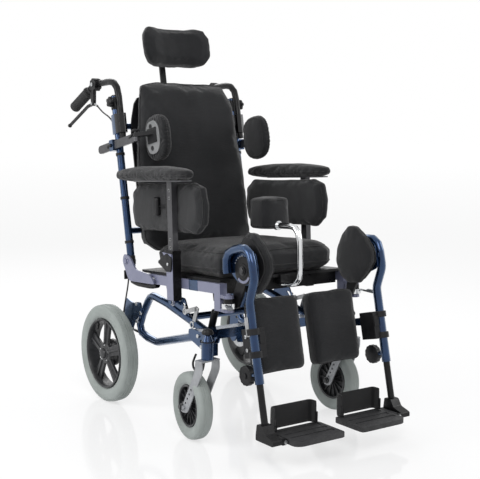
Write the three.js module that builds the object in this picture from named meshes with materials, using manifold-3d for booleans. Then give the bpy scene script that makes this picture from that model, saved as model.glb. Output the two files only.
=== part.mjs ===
// Tilt in space wheelchair: a rolling base, a seat that tilts on it, a reclining back with head and trunk
// supports, and two legrests that swing away and elevate.
// Millimetres, +Z up. The chair faces -Y and +X is the user's left. Each side piece is drawn for the left
// side, by its distance out from the middle plane, ahead of its group's origin and up, and mirrored.
import * as THREE from "three";
import { mergeVertices } from "three/addons/utils/BufferGeometryUtils.js";
import Module from "manifold-3d";

const wasm = await Module();
wasm.setup();

// Fits
const fit = 0.3;
const runningFit = 0.7;
const overrun = 3;

// Round tube stock and bolts
const tubeRadius = 12.5;
const boltRadius = 6;
const bushRadius = 6.7;
const boltHeadRadius = 9;
const boltHeadLength = 5;
const plateThickness = 4;

// Base side frame: one bent tube that closes a triangle
const frameOut = 196;
const frameRearAhead = 24;
const frameRearUp = 219;
const frameTopAhead = 124;
const frameTopUp = 356;
const frameKneeAhead = 225;
const frameKneeUp = 341;
const frameFrontAhead = 450;
const frameFrontUp = 290;
const frameMeetUp = 284;
const frameSagAhead = 160;
const frameSagUp = 210;
const frameBendRadius = 45;
const crossTubeDeep = 40;
const crossTubeHigh = 28;
const rearCrossAhead = 330;
const rearCrossUp = 329;
const rearCrossRadius = 11;

// Tilt pivot of the seat on the base
const tiltAhead = 278;
const tiltUp = 358.6;
const tiltEarRadius = 15;

// Rear wheels and their axle plates
const wheelOut = 280;
const wheelRadius = 156;
const tyreWidth = 52;
const rimRadius = 111;
const rimWidth = 44;
const rimWall = 7;
const spokeCount = 5;
const spokeThickness = 10;
const spokeHubWidth = 30;
const spokeRimWidth = 40;
const spokeRibWidth = 7;
const hubRadius = 34;
const hubCapRadius = 16.5;
const hubCapLength = 7;
const drumRadius = 43;
const drumWidth = 22;
const axlePlateBackAhead = -18;
const axlePlateFrontAhead = 90;
const axlePlateUp = 328;
const axleEyeRadius = 22;

// Casters
const casterOut = 263;
const casterAhead = 540;
const casterRadius = 97;
const casterWidth = 44;
const casterRimRadius = 60;
const casterTrail = 62;
const stemRadius = 8;
const housingRadius = 18;
const housingLength = 52;
const housingUp = 241;
const housingCapLength = 20;
const housingCapRadius = 16;
const forkInside = 29;
const forkThickness = 4;
const forkBarWidth = 30;
const forkBendDrop = 31;
const forkHoleRadius = 3.5;
const forkHoleStep = 16;
const forkHoleCount = 4;
const casterSpokeCount = 6;
const rightCasterTurn = 7.5;
const leftCasterTurn = 2.4;
const bracketOut = 234;
const bracketSlotWidth = 9;

// Seat: its own origin is the tilt pivot, turned by the seat's pitch
const seatPitch = 3.25;
const railOut = 225;
const railWidth = 22;
const railHigh = 29;
const railUp = 49;
const railBackAhead = -106;
const railFrontAhead = 258;
const elbowThickness = 5;
const reclineAhead = -218;
const reclineUp = 110;
const seatCushionHalfWidth = 212;
const seatCushionBackAhead = -112;
const seatBoardBackAhead = -165;
const seatCushionFrontAhead = 268;
const seatCushionHigh = 84;
const seatBoardThickness = 8;
const frontBeamAhead = 236;
const frontBeamDeep = 30;
const frontBeamHigh = 44;

// Armrests
const armOut = 250;
const armAhead = 70;
const armTubeDeep = 26;
const armTubeWide = 18;
const armSocketWall = 4.5;
const armSocketLowUp = 14;
const armSocketHighUp = 159;
const armPadUp = 364;
const armPadThickness = 36;
const armPadLength = 408;
const armPadWidth = 64;
const armPadMiddleAhead = -22;
const armPadOut = 254;
const armPlateThickness = 4;
const sidePanelOut = 220;
const sidePanelThickness = 28;
const sidePanelLowUp = 209;
const sidePanelHighUp = 356;
const sidePanelBackAhead = -200;
const sidePanelFrontAhead = 208;

// Back: its own origin is the recline pivot, turned by the back's lean
const backLean = 11.64;
const caneOut = 228;
const caneBelow = 19;
const caneHigh = 525;
const backBarRadius = 10;
const lowerBarUp = 95;
const upperBarUp = 430;
const backShellAhead = 13;
const backShellThickness = 6;
const backShellHalfWidth = 190;
const backCushionHigh = 545;
const backCushionLowUp = 22;
const backCushionDeep = 74;
const backCushionHalfWidth = 200;
const backCushionTopHalfWidth = 162;

// Headrest
const headPostAhead = -62;
const headPostWidth = 20;
const headPostThickness = 8;
const headReceiverHigh = 84;
const headPivotUp = 676;
const headPivotAhead = -34;
const headPadUp = 690;
const headPadHigh = 128;
const headPadHalfWidth = 127;
const headPadThickness = 42;
const headPadWing = 34;
const headPadBackAhead = -8;

// Push handles, grips and brake levers
const handleAhead = 27;
const handleRadius = 11;
const handleLowUp = 386;
const handleTopUp = 560;
const handleClampLowUp = 404;
const handleClampHigh = 62;
const knuckleBackAhead = -105;
const knuckleUp = 588;
const knuckleRadius = 20;
const knuckleWidth = 12;
const gripRadius = 17;
const gripLength = 118;
const gripSlope = 14;
const leverLength = 150;

// Trunk supports
const lateralOut = 247;
const lateralUp = 369;
const lateralHigh = 26;
const lateralThickness = 9;
const lateralBackAhead = -100;
const lateralFrontAhead = 140;
const lateralPadAhead = 172;
const lateralPadOut = 188;
const lateralPadThickness = 32;
const lateralPadHigh = 140;
const lateralPadUp = 362;
const lateralPadLong = 120;

// Legrests: the swing post on the seat, then the leg's own origin at its hub, turned by the leg's angle
const postOut = 230;
const postAhead = 317;
const postRadius = 8;
const lugThickness = 9;
const lugRadius = 15;
const lowerLugUp = 2;
const upperLugUp = 40;
const hubAhead = 373;
const hubUp = 119;
const legAngle = 13.2;
const hubPlateOut = 209;
const hubPlateThickness = 8;
const archRadius = 60;
const legTubeAhead = 26;
const legTubeDown = 303;
const quadrantRadius = 40;
const quadrantThickness = 4;
const lowerTubeRadius = 9.5;
const lowerTubeTopDown = 190;
const footDown = 408;
const clampHighDown = 156;
const clampLowDown = 233;
const clampRadius = 16.5;
const knobDown = 279;
const knobRadius = 26;
const knobThickness = 15;
const calfPadInner = 18;
const calfPadOuter = 190;
const calfPadHighDown = 76;
const calfPadLowDown = 284;
const calfPadThickness = 42;
const calfPadAhead = -50;
const kneePadOut = 181;
const kneePadThickness = 36;
const kneePadHigh = 176;
const kneePadDeep = 166;

// Footplates: their own origin is the foot of the lower tube
const footplateInner = 30;
const footplateOuter = 205;
const footplateDeep = 118;
const footplateThickness = 14;
const footplateDrop = 30;
const hingeRadius = 12;
const footRaisedWidth = 34;
const footRaisedHigh = 10;
const strapHigh = 62;
const strapThickness = 3;

// Pommel
const pommelBarRadius = 9;
const pommelPadWidth = 105;
const pommelPadDeep = 88;
const pommelPadHigh = 92;
const pommelPadAhead = 207;
const pommelPadUp = 262;

// Tilt gas spring
const springOut = 165;
const springAhead = 398;
const springUp = 250;
const springCylinderRadius = 11;
const springCylinderLength = 96;
const springRodRadius = 5;
const springTopAhead = 172;
const springTopUp = 24;

// Brake cables
const cableRadius = 2.5;

// Faceting and shares
const tubeSides = 8;
const fineSides = 8;
const boreSides = 10;
const wheelSides = 24;
const casterSides = 16;
const bendSteps = 3;
const half = 1 / 2;
const alongY = new THREE.Vector3(0, 1, 0);

// Materials
function material(color, roughness, metalness) {
  return new THREE.MeshStandardMaterial({ color, roughness, metalness });
}
const bluePaint = material(0x1d2c4a, 0.35, 0.7);
const paleBluePaint = material(0x7d82a0, 0.4, 0.6);
const blackSteel = material(0x16171a, 0.5, 0.4);
const silverSteel = material(0x9da1a6, 0.4, 0.8);
const chromeSteel = material(0xd0d3d6, 0.15, 1);
const greyRubber = material(0x8c9692, 0.85, 0);
const blackPlastic = material(0x1b1c1e, 0.55, 0);
const blackCloth = material(0x1e1f21, 0.95, 0);
const blackRubber = material(0x141414, 0.8, 0);

// A point by its distance out, ahead and up
function at(out, ahead, up) {
  return new THREE.Vector3(out, -ahead, up);
}

// A geometry as a solid that can be joined and cut
function toSolid(geometry) {
  const bare = geometry.clone();
  bare.deleteAttribute("normal");
  bare.deleteAttribute("uv");
  const merged = mergeVertices(bare);
  const corners = merged.index.array;
  const triangles = [];
  for (let i = 0; i < corners.length; i += 3) {
    const [a, b, c] = [corners[i], corners[i + 1], corners[i + 2]];
    if (a !== b && b !== c && c !== a) triangles.push(a, b, c);
  }
  const mesh = new wasm.Mesh({
    numProp: 3,
    vertProperties: merged.attributes.position.array,
    triVerts: new Uint32Array(triangles),
  });
  return new wasm.Manifold(mesh);
}

// A solid as a flat-shaded geometry
function toGeometry(solid) {
  const mesh = solid.getMesh();
  const indexed = new THREE.BufferGeometry();
  indexed.setAttribute("position", new THREE.BufferAttribute(new Float32Array(mesh.vertProperties), 3));
  indexed.setIndex(new THREE.BufferAttribute(new Uint32Array(mesh.triVerts), 1));
  const geometry = indexed.toNonIndexed();
  geometry.computeVertexNormals();
  return geometry;
}

function join(...shapes) {
  return toGeometry(shapes.map(toSolid).reduce((whole, shape) => whole.add(shape)));
}

function cut(shape, ...tools) {
  return toGeometry(tools.map(toSolid).reduce((whole, tool) => whole.subtract(tool), toSolid(shape)));
}

// One named piece of the chair
function piece(parent, name, geometry, look) {
  const mesh = new THREE.Mesh(join(geometry), look);
  mesh.name = name;
  parent.add(mesh);
  return mesh;
}

// A group whose origin is a pivot, turned back by an angle about the pivot's axis
function pivotGroup(parent, name, place, turnedBack = 0) {
  const group = new THREE.Group();
  group.name = name;
  group.position.copy(place);
  group.rotation.x = -THREE.MathUtils.degToRad(turnedBack);
  parent.add(group);
  return group;
}

// Builds the same pieces on both sides, the right ones mirrored
function bothSides(parent, build) {
  for (const side of ["right", "left"]) {
    const mirrored = new THREE.Group();
    mirrored.scale.x = side === "left" ? 1 : -1;
    parent.add(mirrored);
    build(mirrored, side);
  }
}

// A round rod between two points, tapered when its end radius is given
function rod(from, to, radius, sides = fineSides, endRadius = radius) {
  const run = to.clone().sub(from);
  const shape = new THREE.CylinderGeometry(endRadius, radius, run.length(), sides);
  shape.applyQuaternion(new THREE.Quaternion().setFromUnitVectors(alongY, run.normalize()));
  const middle = from.clone().lerp(to, half);
  return shape.translate(middle.x, middle.y, middle.z);
}

// A rod across the chair
function crossRod(inner, outer, ahead, up, radius, sides = fineSides) {
  return rod(at(inner, ahead, up), at(outer, ahead, up), radius, sides);
}

// A box between its low and high planes
function block(inner, outer, back, front, low, high) {
  const shape = new THREE.BoxGeometry(outer - inner, front - back, high - low);
  const middle = at((inner + outer) * half, (back + front) * half, (low + high) * half);
  return shape.translate(middle.x, middle.y, middle.z);
}

// Straight runs joined by rounded bends, with stations only where the path turns
class BentPath extends THREE.Curve {
  constructor(corners, bendRadius, steps = bendSteps) {
    super();
    this.stations = [corners[0].clone()];
    this.headings = [corners[1].clone().sub(corners[0]).normalize()];
    for (let i = 1; i < corners.length - 1; i += 1) {
      const arriving = corners[i].clone().sub(corners[i - 1]).normalize();
      const leaving = corners[i + 1].clone().sub(corners[i]).normalize();
      const setBack = bendRadius * Math.tan(arriving.angleTo(leaving) / 2);
      const bend = new THREE.QuadraticBezierCurve3(
        corners[i].clone().addScaledVector(arriving, -setBack),
        corners[i],
        corners[i].clone().addScaledVector(leaving, setBack),
      );
      for (let s = 0; s <= steps; s += 1) {
        this.stations.push(bend.getPoint(s / steps));
        this.headings.push(bend.getTangent(s / steps));
      }
    }
    this.stations.push(corners.at(-1).clone());
    this.headings.push(corners.at(-1).clone().sub(corners.at(-2)).normalize());
  }

  get runs() {
    return this.stations.length - 1;
  }

  getPointAt(share) {
    return this.stations[Math.round(share * this.runs)].clone();
  }

  getTangentAt(share) {
    return this.headings[Math.round(share * this.runs)].clone();
  }
}

function roundSection(radius, sides = tubeSides) {
  const points = [];
  for (let i = 0; i < sides; i += 1) {
    const angle = (i / sides) * 2 * Math.PI;
    points.push(new THREE.Vector2(Math.cos(angle), Math.sin(angle)).multiplyScalar(radius));
  }
  return new THREE.Shape(points);
}

function barSection(width, height) {
  const [x, y] = [width * half, height * half];
  return new THREE.Shape([
    new THREE.Vector2(-x, -y),
    new THREE.Vector2(x, -y),
    new THREE.Vector2(x, y),
    new THREE.Vector2(-x, y),
  ]);
}

// A section swept along a path with rounded bends
function sweep(corners, bendRadius, section, steps = bendSteps) {
  const path = new BentPath(corners, bendRadius, steps);
  return new THREE.ExtrudeGeometry(section, { steps: path.runs, bevelEnabled: false, extrudePath: path });
}

function bentTube(corners, bendRadius, radius, sides = tubeSides, steps = bendSteps) {
  return sweep(corners, bendRadius, roundSection(radius, sides), steps);
}

// A closed outline with each corner rounded
function roundedOutline(points, radius) {
  const shape = new THREE.Shape();
  points.forEach((corner, i) => {
    const before = points.at(i - 1);
    const after = points[(i + 1) % points.length];
    const arriving = corner.clone().sub(before);
    const leaving = after.clone().sub(corner);
    const reach = Math.min(radius, arriving.length() * half, leaving.length() * half);
    const start = corner.clone().addScaledVector(arriving.normalize(), -reach);
    const end = corner.clone().addScaledVector(leaving.normalize(), reach);
    if (i === 0) shape.moveTo(start.x, start.y);
    else shape.lineTo(start.x, start.y);
    shape.quadraticCurveTo(corner.x, corner.y, end.x, end.y);
  });
  shape.closePath();
  return shape;
}

function spot(ahead, up) {
  return new THREE.Vector2(ahead, up);
}

// A plate that stands along the chair, from an outline ahead and up
function sidePlate(points, inner, outer, cornerRadius = 0, segments = 2) {
  const shape = cornerRadius > 0 ? roundedOutline(points, cornerRadius) : new THREE.Shape(points);
  const plate = new THREE.ExtrudeGeometry(shape, {
    depth: outer - inner,
    bevelEnabled: false,
    curveSegments: segments,
  });
  const place = new THREE.Matrix4().makeBasis(
    new THREE.Vector3(0, -1, 0),
    new THREE.Vector3(0, 0, 1),
    new THREE.Vector3(-1, 0, 0),
  );
  return plate.applyMatrix4(place).translate(outer, 0, 0);
}

// A plate that faces ahead, from an outline out and up
function facePlate(points, back, front, cornerRadius = 0, segments = 2) {
  const shape = cornerRadius > 0 ? roundedOutline(points, cornerRadius) : new THREE.Shape(points);
  const plate = new THREE.ExtrudeGeometry(shape, {
    depth: front - back,
    bevelEnabled: false,
    curveSegments: segments,
  });
  return plate.rotateX(Math.PI / 2).translate(0, -back, 0);
}

// A plate that lies flat, from an outline out and ahead
function flatPlate(points, low, high, cornerRadius = 0, segments = 2) {
  const shape = cornerRadius > 0 ? roundedOutline(points, cornerRadius) : new THREE.Shape(points);
  const plate = new THREE.ExtrudeGeometry(shape, {
    depth: high - low,
    bevelEnabled: false,
    curveSegments: segments,
  });
  const place = new THREE.Matrix4().makeBasis(
    new THREE.Vector3(1, 0, 0),
    new THREE.Vector3(0, -1, 0),
    new THREE.Vector3(0, 0, -1),
  );
  return plate.applyMatrix4(place).translate(0, 0, high);
}

// A shape turned about an axis across the chair, from a profile of radius and distance out
function turned(profile, sides) {
  const points = profile.map(([radius, out]) => new THREE.Vector2(radius, out));
  return new THREE.LatheGeometry(points, sides).rotateZ(-Math.PI / 2);
}

// A padded form: an outline carried through rings of a share of its width at a share of its thickness,
// closed by a middle point at each end
function padded(outline, rings, place) {
  const points = [place(0, 0, rings[0][1])];
  for (const [wide, level] of rings) {
    for (const { x, y } of outline) points.push(place(x * wide, y * wide, level));
  }
  points.push(place(0, 0, rings.at(-1)[1]));
  const count = outline.length;
  const last = points.length - 1;
  const corners = [];
  for (let i = 0; i < count; i += 1) {
    const next = (i + 1) % count;
    corners.push(0, 1 + next, 1 + i);
    for (let ring = 0; ring < rings.length - 1; ring += 1) {
      const low = 1 + ring * count;
      const high = low + count;
      corners.push(low + i, low + next, high + next, low + i, high + next, high + i);
    }
    const top = last - count;
    corners.push(last, top + i, top + next);
  }
  const geometry = new THREE.BufferGeometry().setFromPoints(points);
  geometry.setIndex(corners);
  return geometry;
}

// Evenly spaced points round a rounded outline
function outlinePoints(points, radius, count) {
  return roundedOutline(points, radius).getSpacedPoints(count).slice(0, count);
}

function boxOutline(halfWide, halfHigh) {
  return [spot(halfWide, -halfHigh), spot(halfWide, halfHigh), spot(-halfWide, halfHigh), spot(-halfWide, -halfHigh)];
}

const wheelchair = new THREE.Group();
wheelchair.name = "tilt_in_space_wheelchair";

// The base stays on the floor, with its origin on the ground under the rear axle
const base = pivotGroup(wheelchair, "base", at(0, 0, 0));

// One side: the triangle tube, axle plate, tilt pivot ear, slotted bracket and caster housing
function baseSide() {
  const frameTube = bentTube(
    [
      at(frameOut, frameFrontAhead - tubeRadius, frameMeetUp),
      at(frameOut, frameSagAhead, frameSagUp),
      at(frameOut, frameRearAhead, frameRearUp),
      at(frameOut, frameTopAhead, frameTopUp),
      at(frameOut, frameKneeAhead, frameKneeUp),
      at(frameOut, frameFrontAhead, frameFrontUp),
    ],
    frameBendRadius,
    tubeRadius,
  );
  const tubeFace = frameOut + tubeRadius;
  const waist = (wheelRadius + axlePlateUp) * half;
  const axlePlate = sidePlate(
    [
      spot(-axleEyeRadius, wheelRadius),
      spot(-axleEyeRadius * half, wheelRadius - axleEyeRadius),
      spot(axleEyeRadius * half, wheelRadius - axleEyeRadius),
      spot(axleEyeRadius, wheelRadius),
      spot(frameRearAhead + tubeRadius, waist),
      spot(axlePlateFrontAhead, axlePlateUp - tubeRadius * 2),
      spot(axlePlateFrontAhead - tubeRadius * half, axlePlateUp),
      spot((axlePlateFrontAhead + axlePlateBackAhead) * half, axlePlateUp - tubeRadius),
      spot(axlePlateBackAhead + tubeRadius, axlePlateUp),
      spot(axlePlateBackAhead, axlePlateUp - tubeRadius),
      spot(axlePlateBackAhead, waist),
    ],
    tubeFace - fit,
    tubeFace + plateThickness,
    tubeRadius,
  );
  const axle = crossRod(tubeFace - fit, wheelOut + rimWidth * half, 0, wheelRadius, boltRadius, fineSides);
  const brakePlate = crossRod(
    wheelOut - rimWidth * half - drumWidth,
    wheelOut - rimWidth * half - drumWidth + plateThickness,
    0,
    wheelRadius,
    drumRadius,
    boreSides,
  );
  const spacer = crossRod(
    tubeFace,
    wheelOut - rimWidth * half - drumWidth,
    0,
    wheelRadius,
    boltRadius * 2,
    fineSides,
  );
  const ear = sidePlate(
    [
      spot(frameKneeAhead, frameKneeUp),
      spot(tiltAhead - tiltEarRadius, tiltUp + tiltEarRadius * half),
      spot(tiltAhead, tiltUp + tiltEarRadius),
      spot(tiltAhead + tiltEarRadius * 3, tiltUp + tiltEarRadius),
      spot(tiltAhead + tiltEarRadius * 5, frameFrontUp + crossTubeHigh),
      spot(tiltAhead + tiltEarRadius * 3, frameKneeUp - tiltEarRadius * 2),
    ],
    frameOut,
    frameOut + plateThickness,
    tiltEarRadius * half,
  );
  const earSlot = sidePlate(
    [
      spot(tiltAhead + tiltEarRadius * 3, tiltUp),
      spot(tiltAhead + tiltEarRadius * 4, tiltUp - tiltEarRadius),
      spot(tiltAhead + tiltEarRadius * 3, tiltUp - tiltEarRadius),
      spot(tiltAhead + tiltEarRadius * 2, tiltUp),
    ],
    frameOut - overrun,
    frameOut + plateThickness + overrun,
  );
  const pivotPin = join(
    crossRod(
      frameOut,
      railOut - railWidth * half + plateThickness + runningFit + fit,
      tiltAhead,
      tiltUp,
      boltRadius,
    ),
    crossRod(
      railOut - railWidth * half + plateThickness + runningFit,
      railOut - railWidth * half + plateThickness + runningFit + boltHeadLength,
      tiltAhead,
      tiltUp,
      boltHeadRadius,
    ),
  );
  const stub = block(
    frameOut,
    bracketOut,
    frameFrontAhead - crossTubeDeep * half,
    frameFrontAhead + crossTubeDeep * half,
    frameFrontUp - crossTubeHigh * half,
    frameFrontUp + crossTubeHigh * half,
  );
  const housingBack = casterAhead - housingRadius;
  const bracket = sidePlate(
    [
      spot(frameFrontAhead - crossTubeDeep, frameFrontUp - crossTubeHigh * half),
      spot(frameFrontAhead + crossTubeDeep, housingUp + bracketSlotWidth),
      spot(casterAhead, housingUp + bracketSlotWidth),
      spot(casterAhead, housingUp + housingLength),
      spot(frameFrontAhead + crossTubeDeep, frameFrontUp + crossTubeHigh * half),
      spot(frameFrontAhead - crossTubeDeep, frameFrontUp + crossTubeHigh * half),
    ],
    bracketOut,
    bracketOut + plateThickness * 2,
    bracketSlotWidth,
  );
  const slots = [1, 2].map((row) =>
    block(
      bracketOut - overrun,
      bracketOut + plateThickness * 2 + overrun,
      frameFrontAhead + crossTubeDeep * half + fit,
      housingBack - bracketSlotWidth,
      housingUp + bracketSlotWidth * (2 * row - 1) + bracketSlotWidth * half,
      housingUp + bracketSlotWidth * 2 * row + bracketSlotWidth * half,
    ),
  );
  const housing = join(
    rod(at(casterOut, casterAhead, housingUp), at(casterOut, casterAhead, housingUp + housingLength), housingRadius, boreSides),
    rod(
      at(casterOut, casterAhead, housingUp + housingLength - fit),
      at(casterOut, casterAhead, housingUp + housingLength + housingCapLength),
      housingCapRadius,
      boreSides,
      stemRadius,
    ),
    block(
      bracketOut,
      casterOut,
      housingBack,
      casterAhead + housingRadius * half,
      housingUp + bracketSlotWidth,
      housingUp + housingLength - bracketSlotWidth,
    ),
  );
  const stemBore = rod(
    at(casterOut, casterAhead, housingUp - overrun),
    at(casterOut, casterAhead, housingUp + housingLength - stemRadius),
    stemRadius + runningFit,
    boreSides,
  );
  const frame = join(frameTube, axlePlate, axle, brakePlate, spacer, cut(ear, earSlot), pivotPin);
  return join(frame, stub, cut(bracket, ...slots), cut(housing, stemBore));
}

bothSides(base, (side, hand) => {
  piece(side, `base_side_${hand}`, baseSide(), bluePaint);
});

const insideFrame = frameOut - tubeRadius - fit;
const springEyeRadius = springCylinderRadius - fit;
const springEyeHalfWide = springCylinderRadius * half;
const springLugOuter = springEyeHalfWide + fit + plateThickness;

// Two lugs either side of an eye of the tilt spring
function springLugs(points) {
  return [-springLugOuter, springEyeHalfWide + fit].map((inner) =>
    sidePlate(points, -springOut + inner, -springOut + inner + plateThickness),
  );
}

const crossBack = frameFrontAhead - crossTubeDeep * half;
piece(
  base,
  "base_cross_tube_front",
  join(
    block(
      -insideFrame,
      insideFrame,
      crossBack,
      frameFrontAhead + crossTubeDeep * half,
      frameFrontUp - crossTubeHigh * half,
      frameFrontUp + crossTubeHigh * half,
    ),
    ...springLugs([
      spot(springAhead - springEyeRadius, springUp),
      spot(springAhead, springUp + springEyeRadius * (2 / 3)),
      spot(crossBack, springUp + springEyeRadius * 1.5),
      spot(crossBack, frameFrontUp - crossTubeHigh * half + fit),
      spot(crossBack + crossTubeDeep * half, frameFrontUp - crossTubeHigh * half + fit),
      spot(crossBack + springEyeRadius, springUp + springEyeRadius * half),
      spot(springAhead + springEyeRadius * half, springUp - springEyeRadius),
      spot(springAhead - springEyeRadius * half, springUp - springEyeRadius),
    ]),
    crossRod(
      -springOut - springLugOuter,
      -springOut + springLugOuter,
      springAhead,
      springUp,
      springRodRadius * half,
      tubeSides,
    ),
  ),
  bluePaint,
);
piece(
  base,
  "base_cross_tube_rear",
  crossRod(-insideFrame, insideFrame, rearCrossAhead, rearCrossUp - tubeRadius, rearCrossRadius, tubeSides),
  bluePaint,
);

// Rear wheel: a solid tyre round a moulded rim with five wide ribbed spokes and the brake drum
function tyreRing(radius, inside, width, sides) {
  const shoulder = width * half;
  const depth = radius - inside;
  return turned(
    [
      [inside, -shoulder * (2 / 3)],
      [inside + depth * half, -shoulder],
      [radius - depth * (1 / 6), -shoulder * half],
      [radius, 0],
      [radius - depth * (1 / 6), shoulder * half],
      [inside + depth * half, shoulder],
      [inside, shoulder * (2 / 3)],
      [inside, -shoulder * (2 / 3)],
    ],
    sides,
  );
}

function rimRing(radius, wall, width, sides) {
  const edge = width * half;
  const lip = wall * half;
  return turned(
    [
      [radius - wall, -edge],
      [radius, -edge],
      [radius, edge],
      [radius - wall, edge],
      [radius - wall - lip, 0],
      [radius - wall, -edge],
    ],
    sides,
  );
}

function rearRim() {
  const faceOut = rimWidth * half;
  const spokes = [];
  for (let i = 0; i < spokeCount; i += 1) {
    const reach = rimRadius - rimWall;
    const blade = sidePlate(
      [
        spot(-spokeHubWidth * half, hubRadius * half),
        spot(-spokeRimWidth * half, reach),
        spot(spokeRimWidth * half, reach),
        spot(spokeHubWidth * half, hubRadius * half),
      ],
      0,
      spokeThickness,
    );
    const rib = sidePlate(
      [
        spot(-spokeRibWidth * half, hubRadius * half),
        spot(-spokeRibWidth * half, reach),
        spot(spokeRibWidth * half, reach),
        spot(spokeRibWidth * half, hubRadius * half),
      ],
      spokeThickness * half,
      spokeThickness + spokeRibWidth * half,
    );
    spokes.push(join(blade, rib).rotateX((i / spokeCount) * 2 * Math.PI));
  }
  const hub = turned(
    [
      [0, -faceOut + fit],
      [drumRadius, -faceOut + fit],
      [drumRadius, -faceOut + drumWidth * half],
      [hubRadius, 0],
      [hubRadius, faceOut - hubCapLength],
      [hubCapRadius, faceOut - hubCapLength * half],
      [hubCapRadius, faceOut + hubCapLength],
      [0, faceOut + hubCapLength],
    ],
    boreSides,
  );
  const bore = crossRod(-faceOut - overrun, faceOut + runningFit, 0, 0, boltRadius + runningFit, boreSides);
  return cut(join(rimRing(rimRadius, rimWall, rimWidth, wheelSides), hub, ...spokes), bore);
}

bothSides(base, (side, hand) => {
  const wheel = pivotGroup(side, `rear_wheel_${hand}`, at(wheelOut, 0, wheelRadius));
  piece(wheel, `rear_tyre_${hand}`, tyreRing(wheelRadius, rimRadius + fit, tyreWidth, wheelSides), greyRubber);
  piece(wheel, `rear_rim_${hand}`, rearRim(), blackPlastic);
});

// Caster: a bent flat-bar fork under a stem, its row of axle holes, and a wheel on its own bolt
const forkTop = housingUp - fit - casterRadius;

function casterFork() {
  const legs = [-1, 1].map((edge) =>
    sidePlate(
      [
        spot(casterTrail - forkBarWidth * half, forkTop),
        spot(casterTrail - forkBarWidth * half, forkTop - forkBendDrop),
        spot(-forkBarWidth * half, -forkBarWidth * half),
        spot(forkBarWidth * half, -forkBarWidth * half),
        spot(casterTrail + forkBarWidth * half, forkTop - forkBendDrop),
        spot(casterTrail + forkBarWidth * half, forkTop),
      ],
      edge * (forkInside + forkThickness * half) - forkThickness * half,
      edge * (forkInside + forkThickness * half) + forkThickness * half,
      forkBarWidth * (1 / 3),
      2,
    ),
  );
  const crown = block(
    -forkInside - forkThickness,
    forkInside + forkThickness,
    casterTrail - forkBarWidth * half,
    casterTrail + forkBarWidth * half,
    forkTop - forkThickness,
    forkTop,
  );
  const stem = rod(
    at(0, casterTrail, forkTop - forkThickness),
    at(0, casterTrail, forkTop + housingLength - stemRadius - runningFit),
    stemRadius,
  );
  const slope = spot(casterTrail, forkTop - forkBendDrop).normalize();
  const holes = [];
  for (let i = 1; i <= forkHoleCount; i += 1) {
    const hole = slope.clone().multiplyScalar(i * forkHoleStep);
    const reach = forkInside + forkThickness + overrun;
    holes.push(crossRod(-reach, reach, hole.x, hole.y, forkHoleRadius, 6));
  }
  const bolt = crossRod(
    -forkInside - forkThickness - boltHeadLength,
    forkInside + forkThickness + boltHeadLength,
    0,
    0,
    boltRadius,
  );
  return join(cut(join(...legs, crown), ...holes), stem, bolt);
}

function casterRim() {
  const edge = casterWidth * half;
  const hubReach = forkInside - fit * 2;
  const hub = crossRod(-hubReach, hubReach, 0, 0, housingRadius, fineSides);
  const disc = crossRod(-spokeThickness * half, spokeThickness * half, 0, 0, casterRimRadius - rimWall, boreSides);
  const ribs = [];
  for (let i = 0; i < casterSpokeCount; i += 1) {
    const rib = block(
      -edge * half,
      edge * half,
      -spokeThickness * (1 / 4),
      spokeThickness * (1 / 4),
      housingRadius * half,
      casterRimRadius - rimWall * half,
    );
    ribs.push(rib.rotateX((i / casterSpokeCount) * 2 * Math.PI));
  }
  const bore = crossRod(-forkInside, forkInside, 0, 0, boltRadius + runningFit, boreSides);
  return cut(join(rimRing(casterRimRadius, rimWall * half, casterWidth * (3 / 4), casterSides), hub, disc, ...ribs), bore);
}

bothSides(base, (side, hand) => {
  const turn = hand === "left" ? leftCasterTurn : rightCasterTurn;
  const swivel = pivotGroup(side, `caster_swivel_${hand}`, at(casterOut, casterAhead, 0));
  swivel.rotation.z = (hand === "left" ? 1 : -1) * THREE.MathUtils.degToRad(turn);
  const wheel = pivotGroup(swivel, `caster_wheel_${hand}`, at(0, -casterTrail, casterRadius));
  piece(wheel, `caster_fork_${hand}`, casterFork(), silverSteel);
  piece(wheel, `caster_tyre_${hand}`, tyreRing(casterRadius, casterRimRadius + fit, casterWidth, casterSides), greyRubber);
  piece(wheel, `caster_rim_${hand}`, casterRim(), blackPlastic);
});

// The seat tilts about the pins of the base
const seat = pivotGroup(wheelchair, "seat", at(0, tiltAhead, tiltUp), seatPitch);
const railInside = railOut - railWidth * half;
const railOutside = railOut + railWidth * half;
const railTop = railUp + railHigh;
const elbowOut = caneOut + tubeRadius + runningFit;
const armSocketHalfWide = armTubeWide * half + armSocketWall;
const armSocketHalfDeep = armTubeDeep * half + armSocketWall;

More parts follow.
